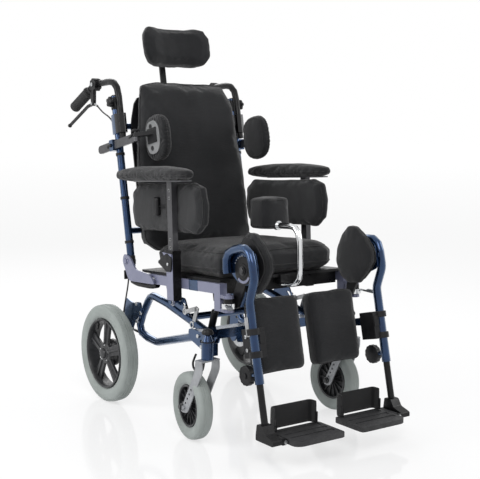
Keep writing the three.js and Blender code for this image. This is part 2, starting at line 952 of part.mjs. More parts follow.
// One side: the rail with its rear elbow, tilt gusset, armrest socket and the lugs of the legrest post
function seatRail() {
  const rail = block(railInside, railOutside, railBackAhead, railFrontAhead, railUp, railTop);
  const elbow = sidePlate(
    [
      spot(reclineAhead - tubeRadius * 2, reclineUp),
      spot(reclineAhead - tubeRadius, reclineUp + tubeRadius * 2),
      spot(reclineAhead + tubeRadius * 2, reclineUp + tubeRadius),
      spot(railBackAhead - railHigh * 2, railTop + railHigh * (1 / 3)),
      spot(railBackAhead + railHigh, railTop),
      spot(railBackAhead + railHigh * 2, railUp + fit),
      spot(railBackAhead - railHigh, railUp),
      spot(reclineAhead + tubeRadius, railUp),
    ],
    elbowOut,
    elbowOut + elbowThickness,
    tubeRadius,
  );
  const spacer = block(
    railOutside - fit,
    elbowOut + fit,
    railBackAhead + fit,
    railBackAhead + railHigh,
    railUp + fit,
    railTop - fit,
  );
  const reclinePin = join(
    crossRod(railInside, elbowOut + fit, reclineAhead, reclineUp, boltRadius),
    crossRod(
      elbowOut + elbowThickness - fit,
      elbowOut + elbowThickness + boltHeadLength,
      reclineAhead,
      reclineUp,
      boltHeadRadius,
      6,
    ),
  );
  const gusset = cut(
    sidePlate(
      [
        spot(-tiltEarRadius, 0),
        spot(-railHigh, railUp + fit),
        spot(railHigh * 2, railUp + fit),
        spot(tiltEarRadius, 0),
        spot(0, -tiltEarRadius),
      ],
      railInside,
      railInside + plateThickness,
      tiltEarRadius * half,
    ),
    crossRod(railInside - overrun, railInside + plateThickness + overrun, 0, 0, bushRadius, boreSides),
  );
  const socket = cut(
    join(
      block(
        armOut - armSocketHalfWide,
        armOut + armSocketHalfWide,
        armAhead - armSocketHalfDeep,
        armAhead + armSocketHalfDeep,
        armSocketLowUp,
        armSocketHighUp,
      ),
      sidePlate(
        [
          spot(armAhead - armSocketHalfDeep * 2, armSocketHighUp - armSocketWall),
          spot(armAhead + armSocketHalfDeep, armSocketHighUp - armSocketHalfDeep * half),
          spot(armAhead, armSocketHighUp - armSocketHalfDeep * 2),
        ],
        armOut + armSocketHalfWide - fit,
        armOut + armSocketHalfWide + plateThickness,
        armSocketWall,
      ),
    ),
    block(
      armOut - armTubeWide * half - fit,
      armOut + armTubeWide * half + fit,
      armAhead - armTubeDeep * half - fit,
      armAhead + armTubeDeep * half + fit,
      armSocketLowUp - overrun,
      armSocketHighUp + overrun,
    ),
  );
  const socketSeat = block(
    railOutside - fit,
    armOut - armSocketHalfWide + fit,
    armAhead - armSocketHalfDeep + fit,
    armAhead + armSocketHalfDeep - fit,
    railUp + fit,
    railTop - fit,
  );
  const barFront = postAhead - lugRadius * 2;
  const receiverBar = block(
    railOut - railWidth * half,
    postOut + postRadius,
    railFrontAhead - fit,
    barFront,
    lowerLugUp,
    railTop,
  );
  const lugs = [lowerLugUp, upperLugUp].map((low) =>
    join(
      flatPlate(
        [
          spot(postOut - lugRadius, barFront - fit),
          spot(postOut + lugRadius * half, barFront - fit),
          spot(postOut + lugRadius, postAhead),
          spot(postOut - lugRadius, postAhead),
        ],
        low,
        low + lugThickness,
      ),
      rod(at(postOut, postAhead, low), at(postOut, postAhead, low + lugThickness), lugRadius, boreSides),
    ),
  );
  const post = rod(
    at(postOut, postAhead, lowerLugUp),
    at(postOut, postAhead, upperLugUp + lugThickness + boltHeadLength),
    postRadius,
  );
  return join(
    rail,
    elbow,
    spacer,
    reclinePin,
    gusset,
    socket,
    socketSeat,
    join(receiverBar, ...lugs, post),
  );
}

bothSides(seat, (side, hand) => {
  piece(side, `seat_rail_${hand}`, seatRail(), paleBluePaint);
});

// Seat board on the rails, its front beam, and the socket of the pommel bar
const boardUp = railTop + fit;
const boardTop = boardUp + seatBoardThickness;
const springTop = spot(springTopAhead, springTopUp);
const pommelBarUp = railUp + frontBeamHigh * (1 / 4);
piece(
  seat,
  "seat_pan",
  cut(
    join(
      flatPlate(
        boxOutline(railOut, (seatCushionFrontAhead - seatBoardBackAhead) * half).map((corner) =>
          corner.add(spot(0, (seatCushionFrontAhead + seatBoardBackAhead) * half)),
        ),
        boardUp,
        boardTop,
        tubeRadius,
      ),
      block(
        -railInside + fit,
        railInside - fit,
        frontBeamAhead - frontBeamDeep * half,
        frontBeamAhead + frontBeamDeep * half,
        boardTop - frontBeamHigh,
        boardTop - fit,
      ),
      block(
        -pommelBarRadius * 2,
        pommelBarRadius * 2,
        0,
        frontBeamAhead,
        pommelBarUp - pommelBarRadius * 2,
        boardTop - fit,
      ),
      ...springLugs([
        spot(springTop.x - springEyeRadius, springTop.y - springEyeRadius),
        spot(springTop.x - springEyeRadius * 2, boardTop - fit),
        spot(springTop.x + springEyeRadius * 2, boardTop - fit),
        spot(springTop.x + springEyeRadius, springTop.y - springEyeRadius),
      ]),
      crossRod(
        -springOut - springLugOuter,
        -springOut + springLugOuter,
        springTop.x,
        springTop.y,
        springRodRadius * half,
        tubeSides,
      ),
    ),
    rod(
      at(0, -overrun, pommelBarUp),
      at(0, frontBeamAhead + frontBeamDeep + overrun, pommelBarUp),
      pommelBarRadius + fit * 3,
      boreSides,
    ),
  ),
  blackPlastic,
);

// Seat cushion: drawn-in sides, a welted edge and a low crown
const cushionRings = [
  [0.9, 0],
  [0.985, 0.1],
  [0.985, 0.45],
  [1, 0.72],
  [0.88, 1],
  [0.5, 1.1],
];
const cushionRoundShare = 0.2;
const seatCushionLow = boardTop + fit;
const seatCushionHalfLong = (seatCushionFrontAhead - seatCushionBackAhead) * half;
const seatCushionMiddle = (seatCushionFrontAhead + seatCushionBackAhead) * half;
piece(
  seat,
  "seat_cushion",
  padded(
    outlinePoints(
      boxOutline(seatCushionHalfWidth, seatCushionHalfLong),
      seatCushionHalfWidth * cushionRoundShare,
      24,
    ),
    cushionRings,
    (x, y, level) => at(x, seatCushionMiddle - y, seatCushionLow + level * seatCushionHigh),
  ),
  blackCloth,
);

// Pommel: a chrome bar that slides in the seat's socket, bent up and over the cushion's front
const pommelLoopAhead = 344;
const pommelLoopUp = 226;
const pommelBendRadius = 42;
const pommelPadFront = pommelPadAhead + pommelPadDeep * half;
piece(
  seat,
  "pommel_bar",
  bentTube(
    [
      at(0, frontBeamAhead * half, pommelBarUp),
      at(0, pommelLoopAhead, pommelBarUp),
      at(0, pommelLoopAhead, pommelLoopUp),
      at(0, pommelPadFront + fit, pommelLoopUp),
    ],
    pommelBendRadius,
    pommelBarRadius,
    fineSides,
  ),
  chromeSteel,
);
const pommelRings = [
  [0.88, 0],
  [1, 0.08],
  [1, 0.5],
  [0.98, 0.9],
  [0.86, 1],
];
piece(
  seat,
  "pommel_pad",
  padded(
    outlinePoints(
      boxOutline(pommelPadWidth * half, pommelPadDeep * half),
      pommelPadDeep * (1 / 4),
      16,
    ),
    pommelRings,
    (x, y, level) => at(x, pommelPadAhead - y, pommelPadUp + (level - half) * pommelPadHigh),
  ),
  blackCloth,
);

// Armrest: a post in the rail's socket, a padded side panel and a leaf-shaped pad on a plate
const leafWidthShares = [
  [-0.5, 0.32],
  [-0.47, 0.62],
  [-0.36, 0.88],
  [-0.15, 1],
  [0.1, 1],
  [0.3, 0.9],
  [0.42, 0.66],
  [0.48, 0.4],
  [0.5, 0.14],
];
const armPadRings = [
  [0.84, 0],
  [0.97, 0.16],
  [1, 0.5],
  [0.96, 0.84],
  [0.8, 1],
  [0.4, 1.1],
];

function leafOutline() {
  const edge = leafWidthShares.map(([long, wide]) => spot(long * armPadLength, wide * armPadWidth * half));
  return [...edge.map((point) => spot(point.x, -point.y)), ...edge.reverse()];
}

const sidePanelRings = [
  [0.9, 0],
  [0.985, 0.12],
  [1, 0.5],
  [0.985, 0.88],
  [0.9, 1],
];
const panelHalfLong = (sidePanelFrontAhead - sidePanelBackAhead) * half;
const panelHalfHigh = (sidePanelHighUp - sidePanelLowUp) * half;
const panelMiddleAhead = (sidePanelFrontAhead + sidePanelBackAhead) * half;
const panelMiddleUp = (sidePanelHighUp + sidePanelLowUp) * half;
const armPlateUp = armPadUp - fit - armPlateThickness;

bothSides(seat, (side, hand) => {
  const post = join(
    block(
      armOut - armTubeWide * half,
      armOut + armTubeWide * half,
      armAhead - armTubeDeep * half,
      armAhead + armTubeDeep * half,
      armSocketLowUp + armTubeDeep,
      armPlateUp + fit,
    ),
    flatPlate(
      boxOutline(armPadWidth * (1 / 3), armPadLength * (1 / 3)).map((corner) =>
        corner.add(spot(armPadOut, -armPadMiddleAhead)),
      ),
      armPlateUp,
      armPlateUp + armPlateThickness,
      tubeRadius,
    ),
  );
  piece(side, `arm_post_${hand}`, post, blackSteel);
  piece(
    side,
    `arm_pad_${hand}`,
    padded(leafOutline(), armPadRings, (x, y, level) =>
      at(armPadOut + y, armPadMiddleAhead + x, armPadUp + level * armPadThickness),
    ),
    blackCloth,
  );
  const panel = padded(
    outlinePoints(boxOutline(panelHalfLong, panelHalfHigh), panelHalfHigh * (4 / 5), 20),
    sidePanelRings,
    (x, y, level) =>
      at(sidePanelOut + (level - half) * sidePanelThickness, panelMiddleAhead - x, panelMiddleUp + y),
  );
  const fixing = crossRod(
    sidePanelOut,
    armOut - armTubeWide * half - fit,
    armAhead,
    panelMiddleUp,
    boltHeadRadius,
  );
  piece(side, `side_panel_${hand}`, join(panel, fixing), blackCloth);
});

// The back reclines about the pins of the seat's elbows
const back = pivotGroup(seat, "back", at(0, reclineAhead, reclineUp), backLean - seatPitch);
const cheek = tubeRadius + plateThickness - fit * 2;
const clampFront = handleAhead + handleRadius + plateThickness;
const lateralGuideHalfHigh = lateralHigh * half + armSocketWall;

// One side: the cane, the clamp of the push handle and the guide of the trunk support
function cane() {
  const tube = rod(at(caneOut, 0, -caneBelow), at(caneOut, 0, caneHigh), tubeRadius);
  const pivotBore = crossRod(
    caneOut - tubeRadius - overrun,
    caneOut + tubeRadius + overrun,
    0,
    0,
    bushRadius,
    boreSides,
  );
  const clamp = flatPlate(
    [
      spot(caneOut - cheek, -cheek),
      spot(caneOut + cheek, -cheek),
      spot(caneOut + cheek, clampFront),
      spot(caneOut - cheek, clampFront),
    ],
    handleClampLowUp,
    handleClampLowUp + handleClampHigh,
    tubeRadius,
  );
  const handleBore = rod(
    at(caneOut, handleAhead, handleClampLowUp - overrun),
    at(caneOut, handleAhead, handleClampLowUp + handleClampHigh + overrun),
    handleRadius + fit * 3,
    boreSides,
  );
  const guide = block(
    caneOut,
    lateralOut + lateralThickness * half + armSocketWall,
    -cheek,
    tubeRadius * half,
    lateralUp - lateralGuideHalfHigh,
    lateralUp + lateralGuideHalfHigh,
  );
  const guideSlot = block(
    lateralOut - lateralThickness * half - fit,
    lateralOut + lateralThickness * half + fit,
    -cheek - overrun,
    tubeRadius * half + overrun,
    lateralUp - lateralHigh * half - fit,
    lateralUp + lateralHigh * half + fit,
  );
  return cut(join(tube, clamp, guide), pivotBore, handleBore, guideSlot);
}

const headReceiverLowUp = upperBarUp - headReceiverHigh * half;
const headReceiver = cut(
  join(
    block(
      -headPostWidth,
      headPostWidth,
      headPostAhead - headPostThickness * half - armSocketWall,
      headPostAhead + headPostThickness * half + armSocketWall,
      headReceiverLowUp,
      headReceiverLowUp + headReceiverHigh,
    ),
    block(
      -headPostWidth,
      headPostWidth,
      headPostAhead + headPostThickness,
      0,
      upperBarUp - backBarRadius,
      upperBarUp + backBarRadius,
    ),
  ),
  block(
    -headPostWidth * half - fit,
    headPostWidth * half + fit,
    headPostAhead - headPostThickness * half - fit,
    headPostAhead + headPostThickness * half + fit,
    headReceiverLowUp - overrun,
    headReceiverLowUp + headReceiverHigh + overrun,
  ),
);
piece(
  back,
  "back_frame",
  join(
    cane(),
    toGeometry(toSolid(cane()).mirror([1, 0, 0])),
    crossRod(-caneOut, caneOut, 0, lowerBarUp, backBarRadius, tubeSides),
    crossRod(-caneOut, caneOut, 0, upperBarUp, backBarRadius, tubeSides),
    headReceiver,
  ),
  bluePaint,
);

// Back shell: a tapered plate with two upright ribs, clamped round the cross bars
const shellTop = upperBarUp + lowerBarUp;
const shellRibOut = backShellHalfWidth * (3 / 5);
const shellRibs = [-1, 1].map((edge) =>
  cut(
    block(
      edge * shellRibOut - backBarRadius,
      edge * shellRibOut + backBarRadius,
      -backBarRadius - plateThickness,
      backShellAhead + fit,
      lowerBarUp - backBarRadius * 2,
      upperBarUp + backBarRadius * 2,
    ),
    block(
      edge * shellRibOut - backBarRadius - overrun,
      edge * shellRibOut + backBarRadius + overrun,
      -backBarRadius - plateThickness - overrun,
      plateThickness,
      lowerBarUp + backBarRadius * 2,
      upperBarUp - backBarRadius * 2,
    ),
    ...[lowerBarUp, upperBarUp].map((up) =>
      crossRod(
        edge * shellRibOut - backBarRadius - overrun,
        edge * shellRibOut + backBarRadius + overrun,
        0,
        up,
        backBarRadius + fit,
        tubeSides,
      ),
    ),
  ),
);
piece(
  back,
  "back_shell",
  join(
    facePlate(
      [
        spot(-backShellHalfWidth, backCushionLowUp * 2),
        spot(backShellHalfWidth, backCushionLowUp * 2),
        spot(backShellHalfWidth, upperBarUp),
        spot(backCushionTopHalfWidth, shellTop),
        spot(-backCushionTopHalfWidth, shellTop),
        spot(-backShellHalfWidth, upperBarUp),
      ],
      backShellAhead,
      backShellAhead + backShellThickness,
      tubeRadius * 2,
    ),
    ...shellRibs,
  ),
  blackPlastic,
);

// Back cushion: narrow at the top, drawn in at the sides, rolled over at its top edge
const backCushionRings = [
  [0.93, 0],
  [0.99, 0.12],
  [1, 0.5],
  [0.97, 0.82],
  [0.84, 1.02],
  [0.45, 1.08],
];
const backCushionMiddle = backCushionLowUp + backCushionHigh * half;
const topRollShare = 0.6;
const topRollDepthShare = 0.55;
const backCushionAhead = backShellAhead + backShellThickness + fit;

function backCushionPoint(x, y, level) {
  const rise = Math.max(0, (y / (backCushionHigh * half) - topRollShare) / (1 - topRollShare));
  const deep = level * backCushionDeep * (1 - topRollDepthShare * rise * rise);
  return at(x, backCushionAhead + deep, backCushionMiddle + y);
}

piece(
  back,
  "back_cushion",
  padded(
    outlinePoints(
      [
        spot(backCushionHalfWidth, -backCushionHigh * half),
        spot(backCushionHalfWidth, 0),
        spot(backCushionTopHalfWidth, backCushionHigh * half),
        spot(-backCushionTopHalfWidth, backCushionHigh * half),
        spot(-backCushionHalfWidth, 0),
        spot(-backCushionHalfWidth, -backCushionHigh * half),
      ],
      backCushionTopHalfWidth * (1 / 4),
      28,
    ),
    backCushionRings,
    backCushionPoint,
  ),
  blackCloth,
);

// Headrest: a flat post in the receiver, and a curved pad that tips on the post's eye
const headEyeHalfWide = headPostWidth * half;
const headEyeRadius = headPostWidth * half;
piece(
  back,
  "headrest_post",
  cut(
    join(
      sweep(
        [
          at(0, headPostAhead, headReceiverLowUp - headPostWidth * 2),
          at(0, headPostAhead, headPivotUp - headPostWidth),
          at(0, headPivotAhead, headPivotUp),
        ],
        headPostWidth,
        barSection(headPostThickness, headPostWidth),
      ),
      crossRod(-headEyeHalfWide, headEyeHalfWide, headPivotAhead, headPivotUp, headEyeRadius, boreSides),
    ),
    crossRod(
      -headEyeHalfWide - overrun,
      headEyeHalfWide + overrun,
      headPivotAhead,
      headPivotUp,
      springRodRadius + runningFit,
      boreSides,
    ),
  ),
  blackSteel,
);
const headRings = [
  [0.86, 0],
  [0.97, 0.14],
  [1, 0.5],
  [0.97, 0.86],
  [0.84, 1],
  [0.4, 1.06],
];
const headLugOuter = headEyeHalfWide + fit + plateThickness;
const headPad = padded(
  outlinePoints(boxOutline(headPadHalfWidth, headPadHigh * half), headPadHigh * (2 / 5), 22),
  headRings,
  (x, y, level) =>
    at(
      x,
      headPadBackAhead + level * headPadThickness + headPadWing * (x / headPadHalfWidth) ** 2,
      headPadUp + y,
    ),
);
const headLugs = [-headLugOuter, headEyeHalfWide + fit].map((inner) =>
  sidePlate(
    [
      spot(headPivotAhead - headEyeRadius * half, headPivotUp - headEyeRadius),
      spot(headPadBackAhead + plateThickness, headPivotUp - headEyeRadius),
      spot(headPadBackAhead + plateThickness, headPivotUp + headEyeRadius),
      spot(headPivotAhead - headEyeRadius * half, headPivotUp + headEyeRadius),
      spot(headPivotAhead - headEyeRadius, headPivotUp),
    ],
    inner,
    inner + plateThickness,
  ),
);
piece(
  back,
  "headrest_pad",
  join(
    headPad,
    ...headLugs,
    crossRod(-headLugOuter, headLugOuter, headPivotAhead, headPivotUp, springRodRadius, tubeSides),
  ),
  blackCloth,
);

// Push handle: a tube in the cane's clamp, bent back to a toothed knuckle that carries the grip
const toothCount = 8;
const gripKnuckleOuter = caneOut + knuckleWidth * half;
const handleDiscInner = gripKnuckleOuter + fit;

function knuckleDisc(inner, outer) {
  const teeth = [];
  for (let i = 0; i < toothCount; i += 1) {
    const tooth = block(
      inner,
      outer,
      -knuckleRadius * (1 / 6),
      knuckleRadius * (1 / 6),
      knuckleRadius * half,
      knuckleRadius,
    );
    teeth.push(tooth.rotateX((i / toothCount) * 2 * Math.PI));
  }
  const disc = join(crossRod(inner, outer, 0, 0, knuckleRadius - fit * 3, boreSides), ...teeth);
  return disc.translate(0, -knuckleBackAhead, knuckleUp);
}

function pushHandle() {
  const tube = bentTube(
    [
      at(caneOut, handleAhead, handleLowUp),
      at(caneOut, handleAhead, handleTopUp + tubeRadius),
      at(caneOut, knuckleBackAhead + knuckleRadius + fit * 3, knuckleUp),
    ],
    knuckleRadius * 3,
    handleRadius,
    fineSides,
  );
  const web = block(
    handleDiscInner,
    handleDiscInner + plateThickness,
    knuckleBackAhead,
    knuckleBackAhead + knuckleRadius * 2,
    knuckleUp - handleRadius * half,
    knuckleUp + handleRadius * half,
  );
  return join(tube, web, knuckleDisc(handleDiscInner, handleDiscInner + knuckleWidth));
}

const slope = THREE.MathUtils.degToRad(gripSlope);
const gripStart = spot(knuckleBackAhead - knuckleRadius - fit * 3, knuckleUp);
const perchAhead = knuckleBackAhead - knuckleRadius * 2;
const leverDrop = gripRadius * 3 + plateThickness;

// A place along the grip's slope, a distance behind its start and below its line
function alongGrip(behind, below = 0) {
  return spot(
    gripStart.x - behind * Math.cos(slope) - below * Math.sin(slope),
    gripStart.y - behind * Math.sin(slope) - below * Math.cos(slope),
  );
}

function sideRod(from, to, radius, sides) {
  return rod(at(caneOut, from.x, from.y), at(caneOut, to.x, to.y), radius, sides);
}

const leverPivot = spot(perchAhead, knuckleUp - leverDrop);

function handleGrip() {
  const coreEnd = alongGrip(knuckleRadius * 2);
  const gripEnd = alongGrip(knuckleRadius * 2 + gripLength);
  const perchEdge = knuckleWidth * half;
  const perch = sidePlate(
    [
      spot(leverPivot.x + perchEdge, leverPivot.y - perchEdge),
      spot(perchAhead + knuckleRadius, knuckleUp),
      spot(perchAhead - perchEdge, knuckleUp - perchEdge),
      spot(leverPivot.x - perchEdge, leverPivot.y - perchEdge),
    ],
    caneOut - knuckleWidth * half,
    gripKnuckleOuter,
  );
  const leverSlot = block(
    caneOut - springRodRadius * half - fit,
    caneOut + springRodRadius * half + fit,
    leverPivot.x - knuckleWidth,
    leverPivot.x + knuckleWidth,
    leverPivot.y - knuckleWidth,
    leverPivot.y + knuckleWidth * (4 / 5),
  );
  const web = block(
    caneOut - knuckleWidth * half,
    gripKnuckleOuter,
    gripStart.x - knuckleWidth,
    knuckleBackAhead,
    knuckleUp - knuckleWidth * half,
    knuckleUp + knuckleWidth * half,
  );
  return join(
    knuckleDisc(caneOut - knuckleWidth * half, gripKnuckleOuter),
    web,
    sideRod(gripStart, coreEnd, handleRadius, tubeSides),
    sideRod(coreEnd, gripEnd, gripRadius, boreSides),
    cut(perch, leverSlot),
    crossRod(
      caneOut - knuckleWidth * half + fit,
      gripKnuckleOuter - fit,
      leverPivot.x,
      leverPivot.y,
      springRodRadius * half,
      8,
    ),
  );
}

function brakeLever() {
  const eyeHalf = springRodRadius * half;
  const bladeStart = spot(leverPivot.x - knuckleRadius * 2, leverPivot.y);
  const bladeEnd = spot(
    bladeStart.x - leverLength * Math.cos(slope),
    bladeStart.y - leverLength * Math.sin(slope),
  );
  const blade = sweep(
    [
      at(caneOut, leverPivot.x, leverPivot.y),
      at(caneOut, bladeStart.x, bladeStart.y),
      at(caneOut, bladeEnd.x, bladeEnd.y),
    ],
    knuckleRadius,
    barSection(springRodRadius * 2, springRodRadius),
    2,
  );
  const ball = new THREE.SphereGeometry(springRodRadius * 1.5, 8, 6);
  ball.translate(caneOut, -bladeEnd.x, bladeEnd.y);
  const eye = crossRod(caneOut - eyeHalf, caneOut + eyeHalf, leverPivot.x, leverPivot.y, springRodRadius, fineSides);
  const bore = crossRod(
    caneOut - eyeHalf - overrun,
    caneOut + eyeHalf + overrun,
    leverPivot.x,
    leverPivot.y,
    springRodRadius * half + fit * 2,
    fineSides,
  );
  return cut(join(blade, ball, eye), bore);
}

// Trunk support: a flat bar in the cane's guide, and an oval pad that swings away on the bar's front pin
const lateralTop = lateralUp + lateralHigh * half;
const lateralPinRadius = boltRadius * (2 / 3);

function lateralBar() {
  const bar = block(
    lateralOut - lateralThickness * half,
    lateralOut + lateralThickness * half,
    lateralBackAhead + lateralHigh * half,
    lateralFrontAhead,
    lateralUp - lateralHigh * half,
    lateralTop,
  );
  const roundEnd = crossRod(
    lateralOut - lateralThickness * half,
    lateralOut + lateralThickness * half,
    lateralBackAhead + lateralHigh * half,
    lateralUp,
    lateralHigh * half,
    boreSides,
  );
  const step = block(
    lateralOut - lateralThickness - overrun,
    lateralOut + lateralThickness + overrun,
    lateralFrontAhead - lateralThickness - fit * 2,
    lateralFrontAhead + lateralThickness + overrun,
    lateralUp,
    lateralTop + overrun,
  );
  const boss = rod(
    at(lateralOut, lateralFrontAhead, lateralUp - lateralHigh * half),
    at(lateralOut, lateralFrontAhead, lateralUp),
    lateralThickness,
    boreSides,
  );
  const pin = rod(
    at(lateralOut, lateralFrontAhead, lateralUp - lateralPinRadius),
    at(lateralOut, lateralFrontAhead, lateralTop + plateThickness),
    lateralPinRadius,
  );
  return join(cut(join(bar, roundEnd), step), boss, pin);
}

const lateralPadRings = [
  [0.86, 0],
  [0.97, 0.2],
  [1, 0.5],
  [0.95, 0.8],
  [0.78, 1],
  [0.4, 1.08],
];

function lateralPad() {
  const padOuter = lateralPadOut + lateralPadThickness * half;
  const pad = padded(
    outlinePoints(
      boxOutline(lateralPadLong * half, lateralPadHigh * half),
      lateralPadLong * half,
      16,
    ),
    lateralPadRings,
    (x, y, level) => at(padOuter - level * lateralPadThickness, lateralPadAhead + x, lateralPadUp + y),
  );
  const plate = sidePlate(
    boxOutline(lateralPadLong * (1 / 3), lateralPadHigh * (3 / 8)).map((corner) =>
      corner.add(spot(lateralPadAhead, lateralPadUp)),
    ),
    padOuter - fit,
    padOuter + plateThickness,
    lateralPadLong * (1 / 4),
    3,
  );
  const link = flatPlate(
    [
      spot(lateralOut - lateralThickness * half, lateralFrontAhead - lateralThickness * (3 / 4)),
      spot(lateralOut + lateralThickness * half, lateralFrontAhead + lateralThickness * (3 / 4)),
      spot(padOuter + fit, lateralPadAhead + lateralHigh * half),
      spot(padOuter + fit, lateralPadAhead - lateralHigh * half),
    ],
    lateralUp + fit,
    lateralTop,
  );
  const eye = rod(
    at(lateralOut, lateralFrontAhead, lateralUp + fit),
    at(lateralOut, lateralFrontAhead, lateralTop),
    lateralThickness,
    boreSides,
  );
  const bore = rod(
    at(lateralOut, lateralFrontAhead, lateralUp - overrun),
    at(lateralOut, lateralFrontAhead, lateralTop + overrun),
    lateralPinRadius + runningFit,
    boreSides,
  );
  return cut(join(pad, plate, link, eye), bore);
}

// Brake cable: from the lever's perch down behind the cane and on to the drum's back plate
const cableRoute = [
  at(228, -132, 529),
  at(228, -100, 500),
  at(228, -19.2, 446),
  at(228, -19.2, 10),
  at(226, -39, -70),
  at(229, -82, -160),
  at(233.2, -115, -253),
];

bothSides(back, (side, hand) => {
  piece(side, `push_handle_${hand}`, pushHandle(), blackSteel);
  piece(side, `handle_grip_${hand}`, handleGrip(), blackRubber);
  piece(side, `brake_lever_${hand}`, brakeLever(), blackSteel);
  piece(side, `lateral_arm_${hand}`, lateralBar(), blackSteel);
  piece(side, `lateral_pad_${hand}`, lateralPad(), blackCloth);
  piece(side, `brake_cable_${hand}`, bentTube(cableRoute, cableRadius * 8, cableRadius, 6, 2), blackRubber);
});

// Legrests: each swings on its post and carries the leg at its hub
const sleeveLow = lowerLugUp + lugThickness + fit;
const sleeveHigh = upperLugUp - fit;
const hubPlateOuter = hubPlateOut + hubPlateThickness * half;
const hubPlateInner = hubPlateOut - hubPlateThickness * half;
const legFaceInner = hubPlateOuter + fit;

// Swing bracket: the sleeve on the post, a tapered plate up to the hub pin, a stay and the release lever
function legBracket() {
  const sleeve = rod(at(postOut, 0, sleeveLow), at(postOut, 0, sleeveHigh), lugRadius - fit, boreSides);
  const bore = rod(
    at(postOut, 0, sleeveLow - overrun),
    at(postOut, 0, sleeveHigh + overrun),
    postRadius + runningFit,
    boreSides,
  );
  const reach = hubAhead - postAhead;
  const plate = sidePlate(
    [
      spot(-lugRadius * half, sleeveLow),
      spot(lugRadius, sleeveLow),
      spot(reach + lugRadius, hubUp - lugRadius),
      spot(reach + lugRadius, hubUp + lugRadius),
      spot(reach - lugRadius, hubUp + lugRadius),
      spot(-lugRadius * half, sleeveHigh),
    ],
    hubPlateInner,
    hubPlateOuter,
    lugRadius * half,
  );
  const web = block(
    hubPlateInner + fit,
    postOut,
    -lugRadius * half + fit,
    lugRadius * half,
    sleeveLow + fit,
    sleeveHigh - fit,
  );
  const hubPin = crossRod(
    hubPlateOut,
    legFaceInner + quadrantThickness + runningFit + boltHeadLength,
    reach,
    hubUp,
    boltRadius,
    boreSides,
  );
  const hubHead = crossRod(
    legFaceInner + quadrantThickness + runningFit,
    legFaceInner + quadrantThickness + runningFit + boltHeadLength,
    reach,
    hubUp,
    boltHeadRadius,
    fineSides,
  );
  const lever = sweep(
    [
      at(hubPlateOut, 0, sleeveLow + hubPlateThickness),
      at(hubPlateOut, -lugRadius * 3, sleeveLow + hubPlateThickness),
      at(hubPlateOut, -lugRadius * 5, sleeveLow - hubPlateThickness),
    ],
    lugRadius,
    barSection(plateThickness, hubPlateThickness),
    2,
  );
  const padPin = crossRod(
    kneePadOut + kneePadThickness * half - fit,
    hubPlateOut,
    reach,
    hubUp,
    boltRadius,
    fineSides,
  );
  return cut(join(sleeve, plate, web, hubPin, hubHead, lever, padPin), bore);
}

const calfMiddleOut = (calfPadInner + calfPadOuter) * half;
const calfMiddleDown = (calfPadHighDown + calfPadLowDown) * half;
const calfHalfWide = (calfPadOuter - calfPadInner) * half;
const calfHalfHigh = (calfPadLowDown - calfPadHighDown) * half;
const calfPinAhead = calfPadAhead - calfPadThickness * half - boltHeadRadius - fit;
const calfLugSpread = calfHalfWide * half;
const clampInner = calfPadOuter + plateThickness * 2;

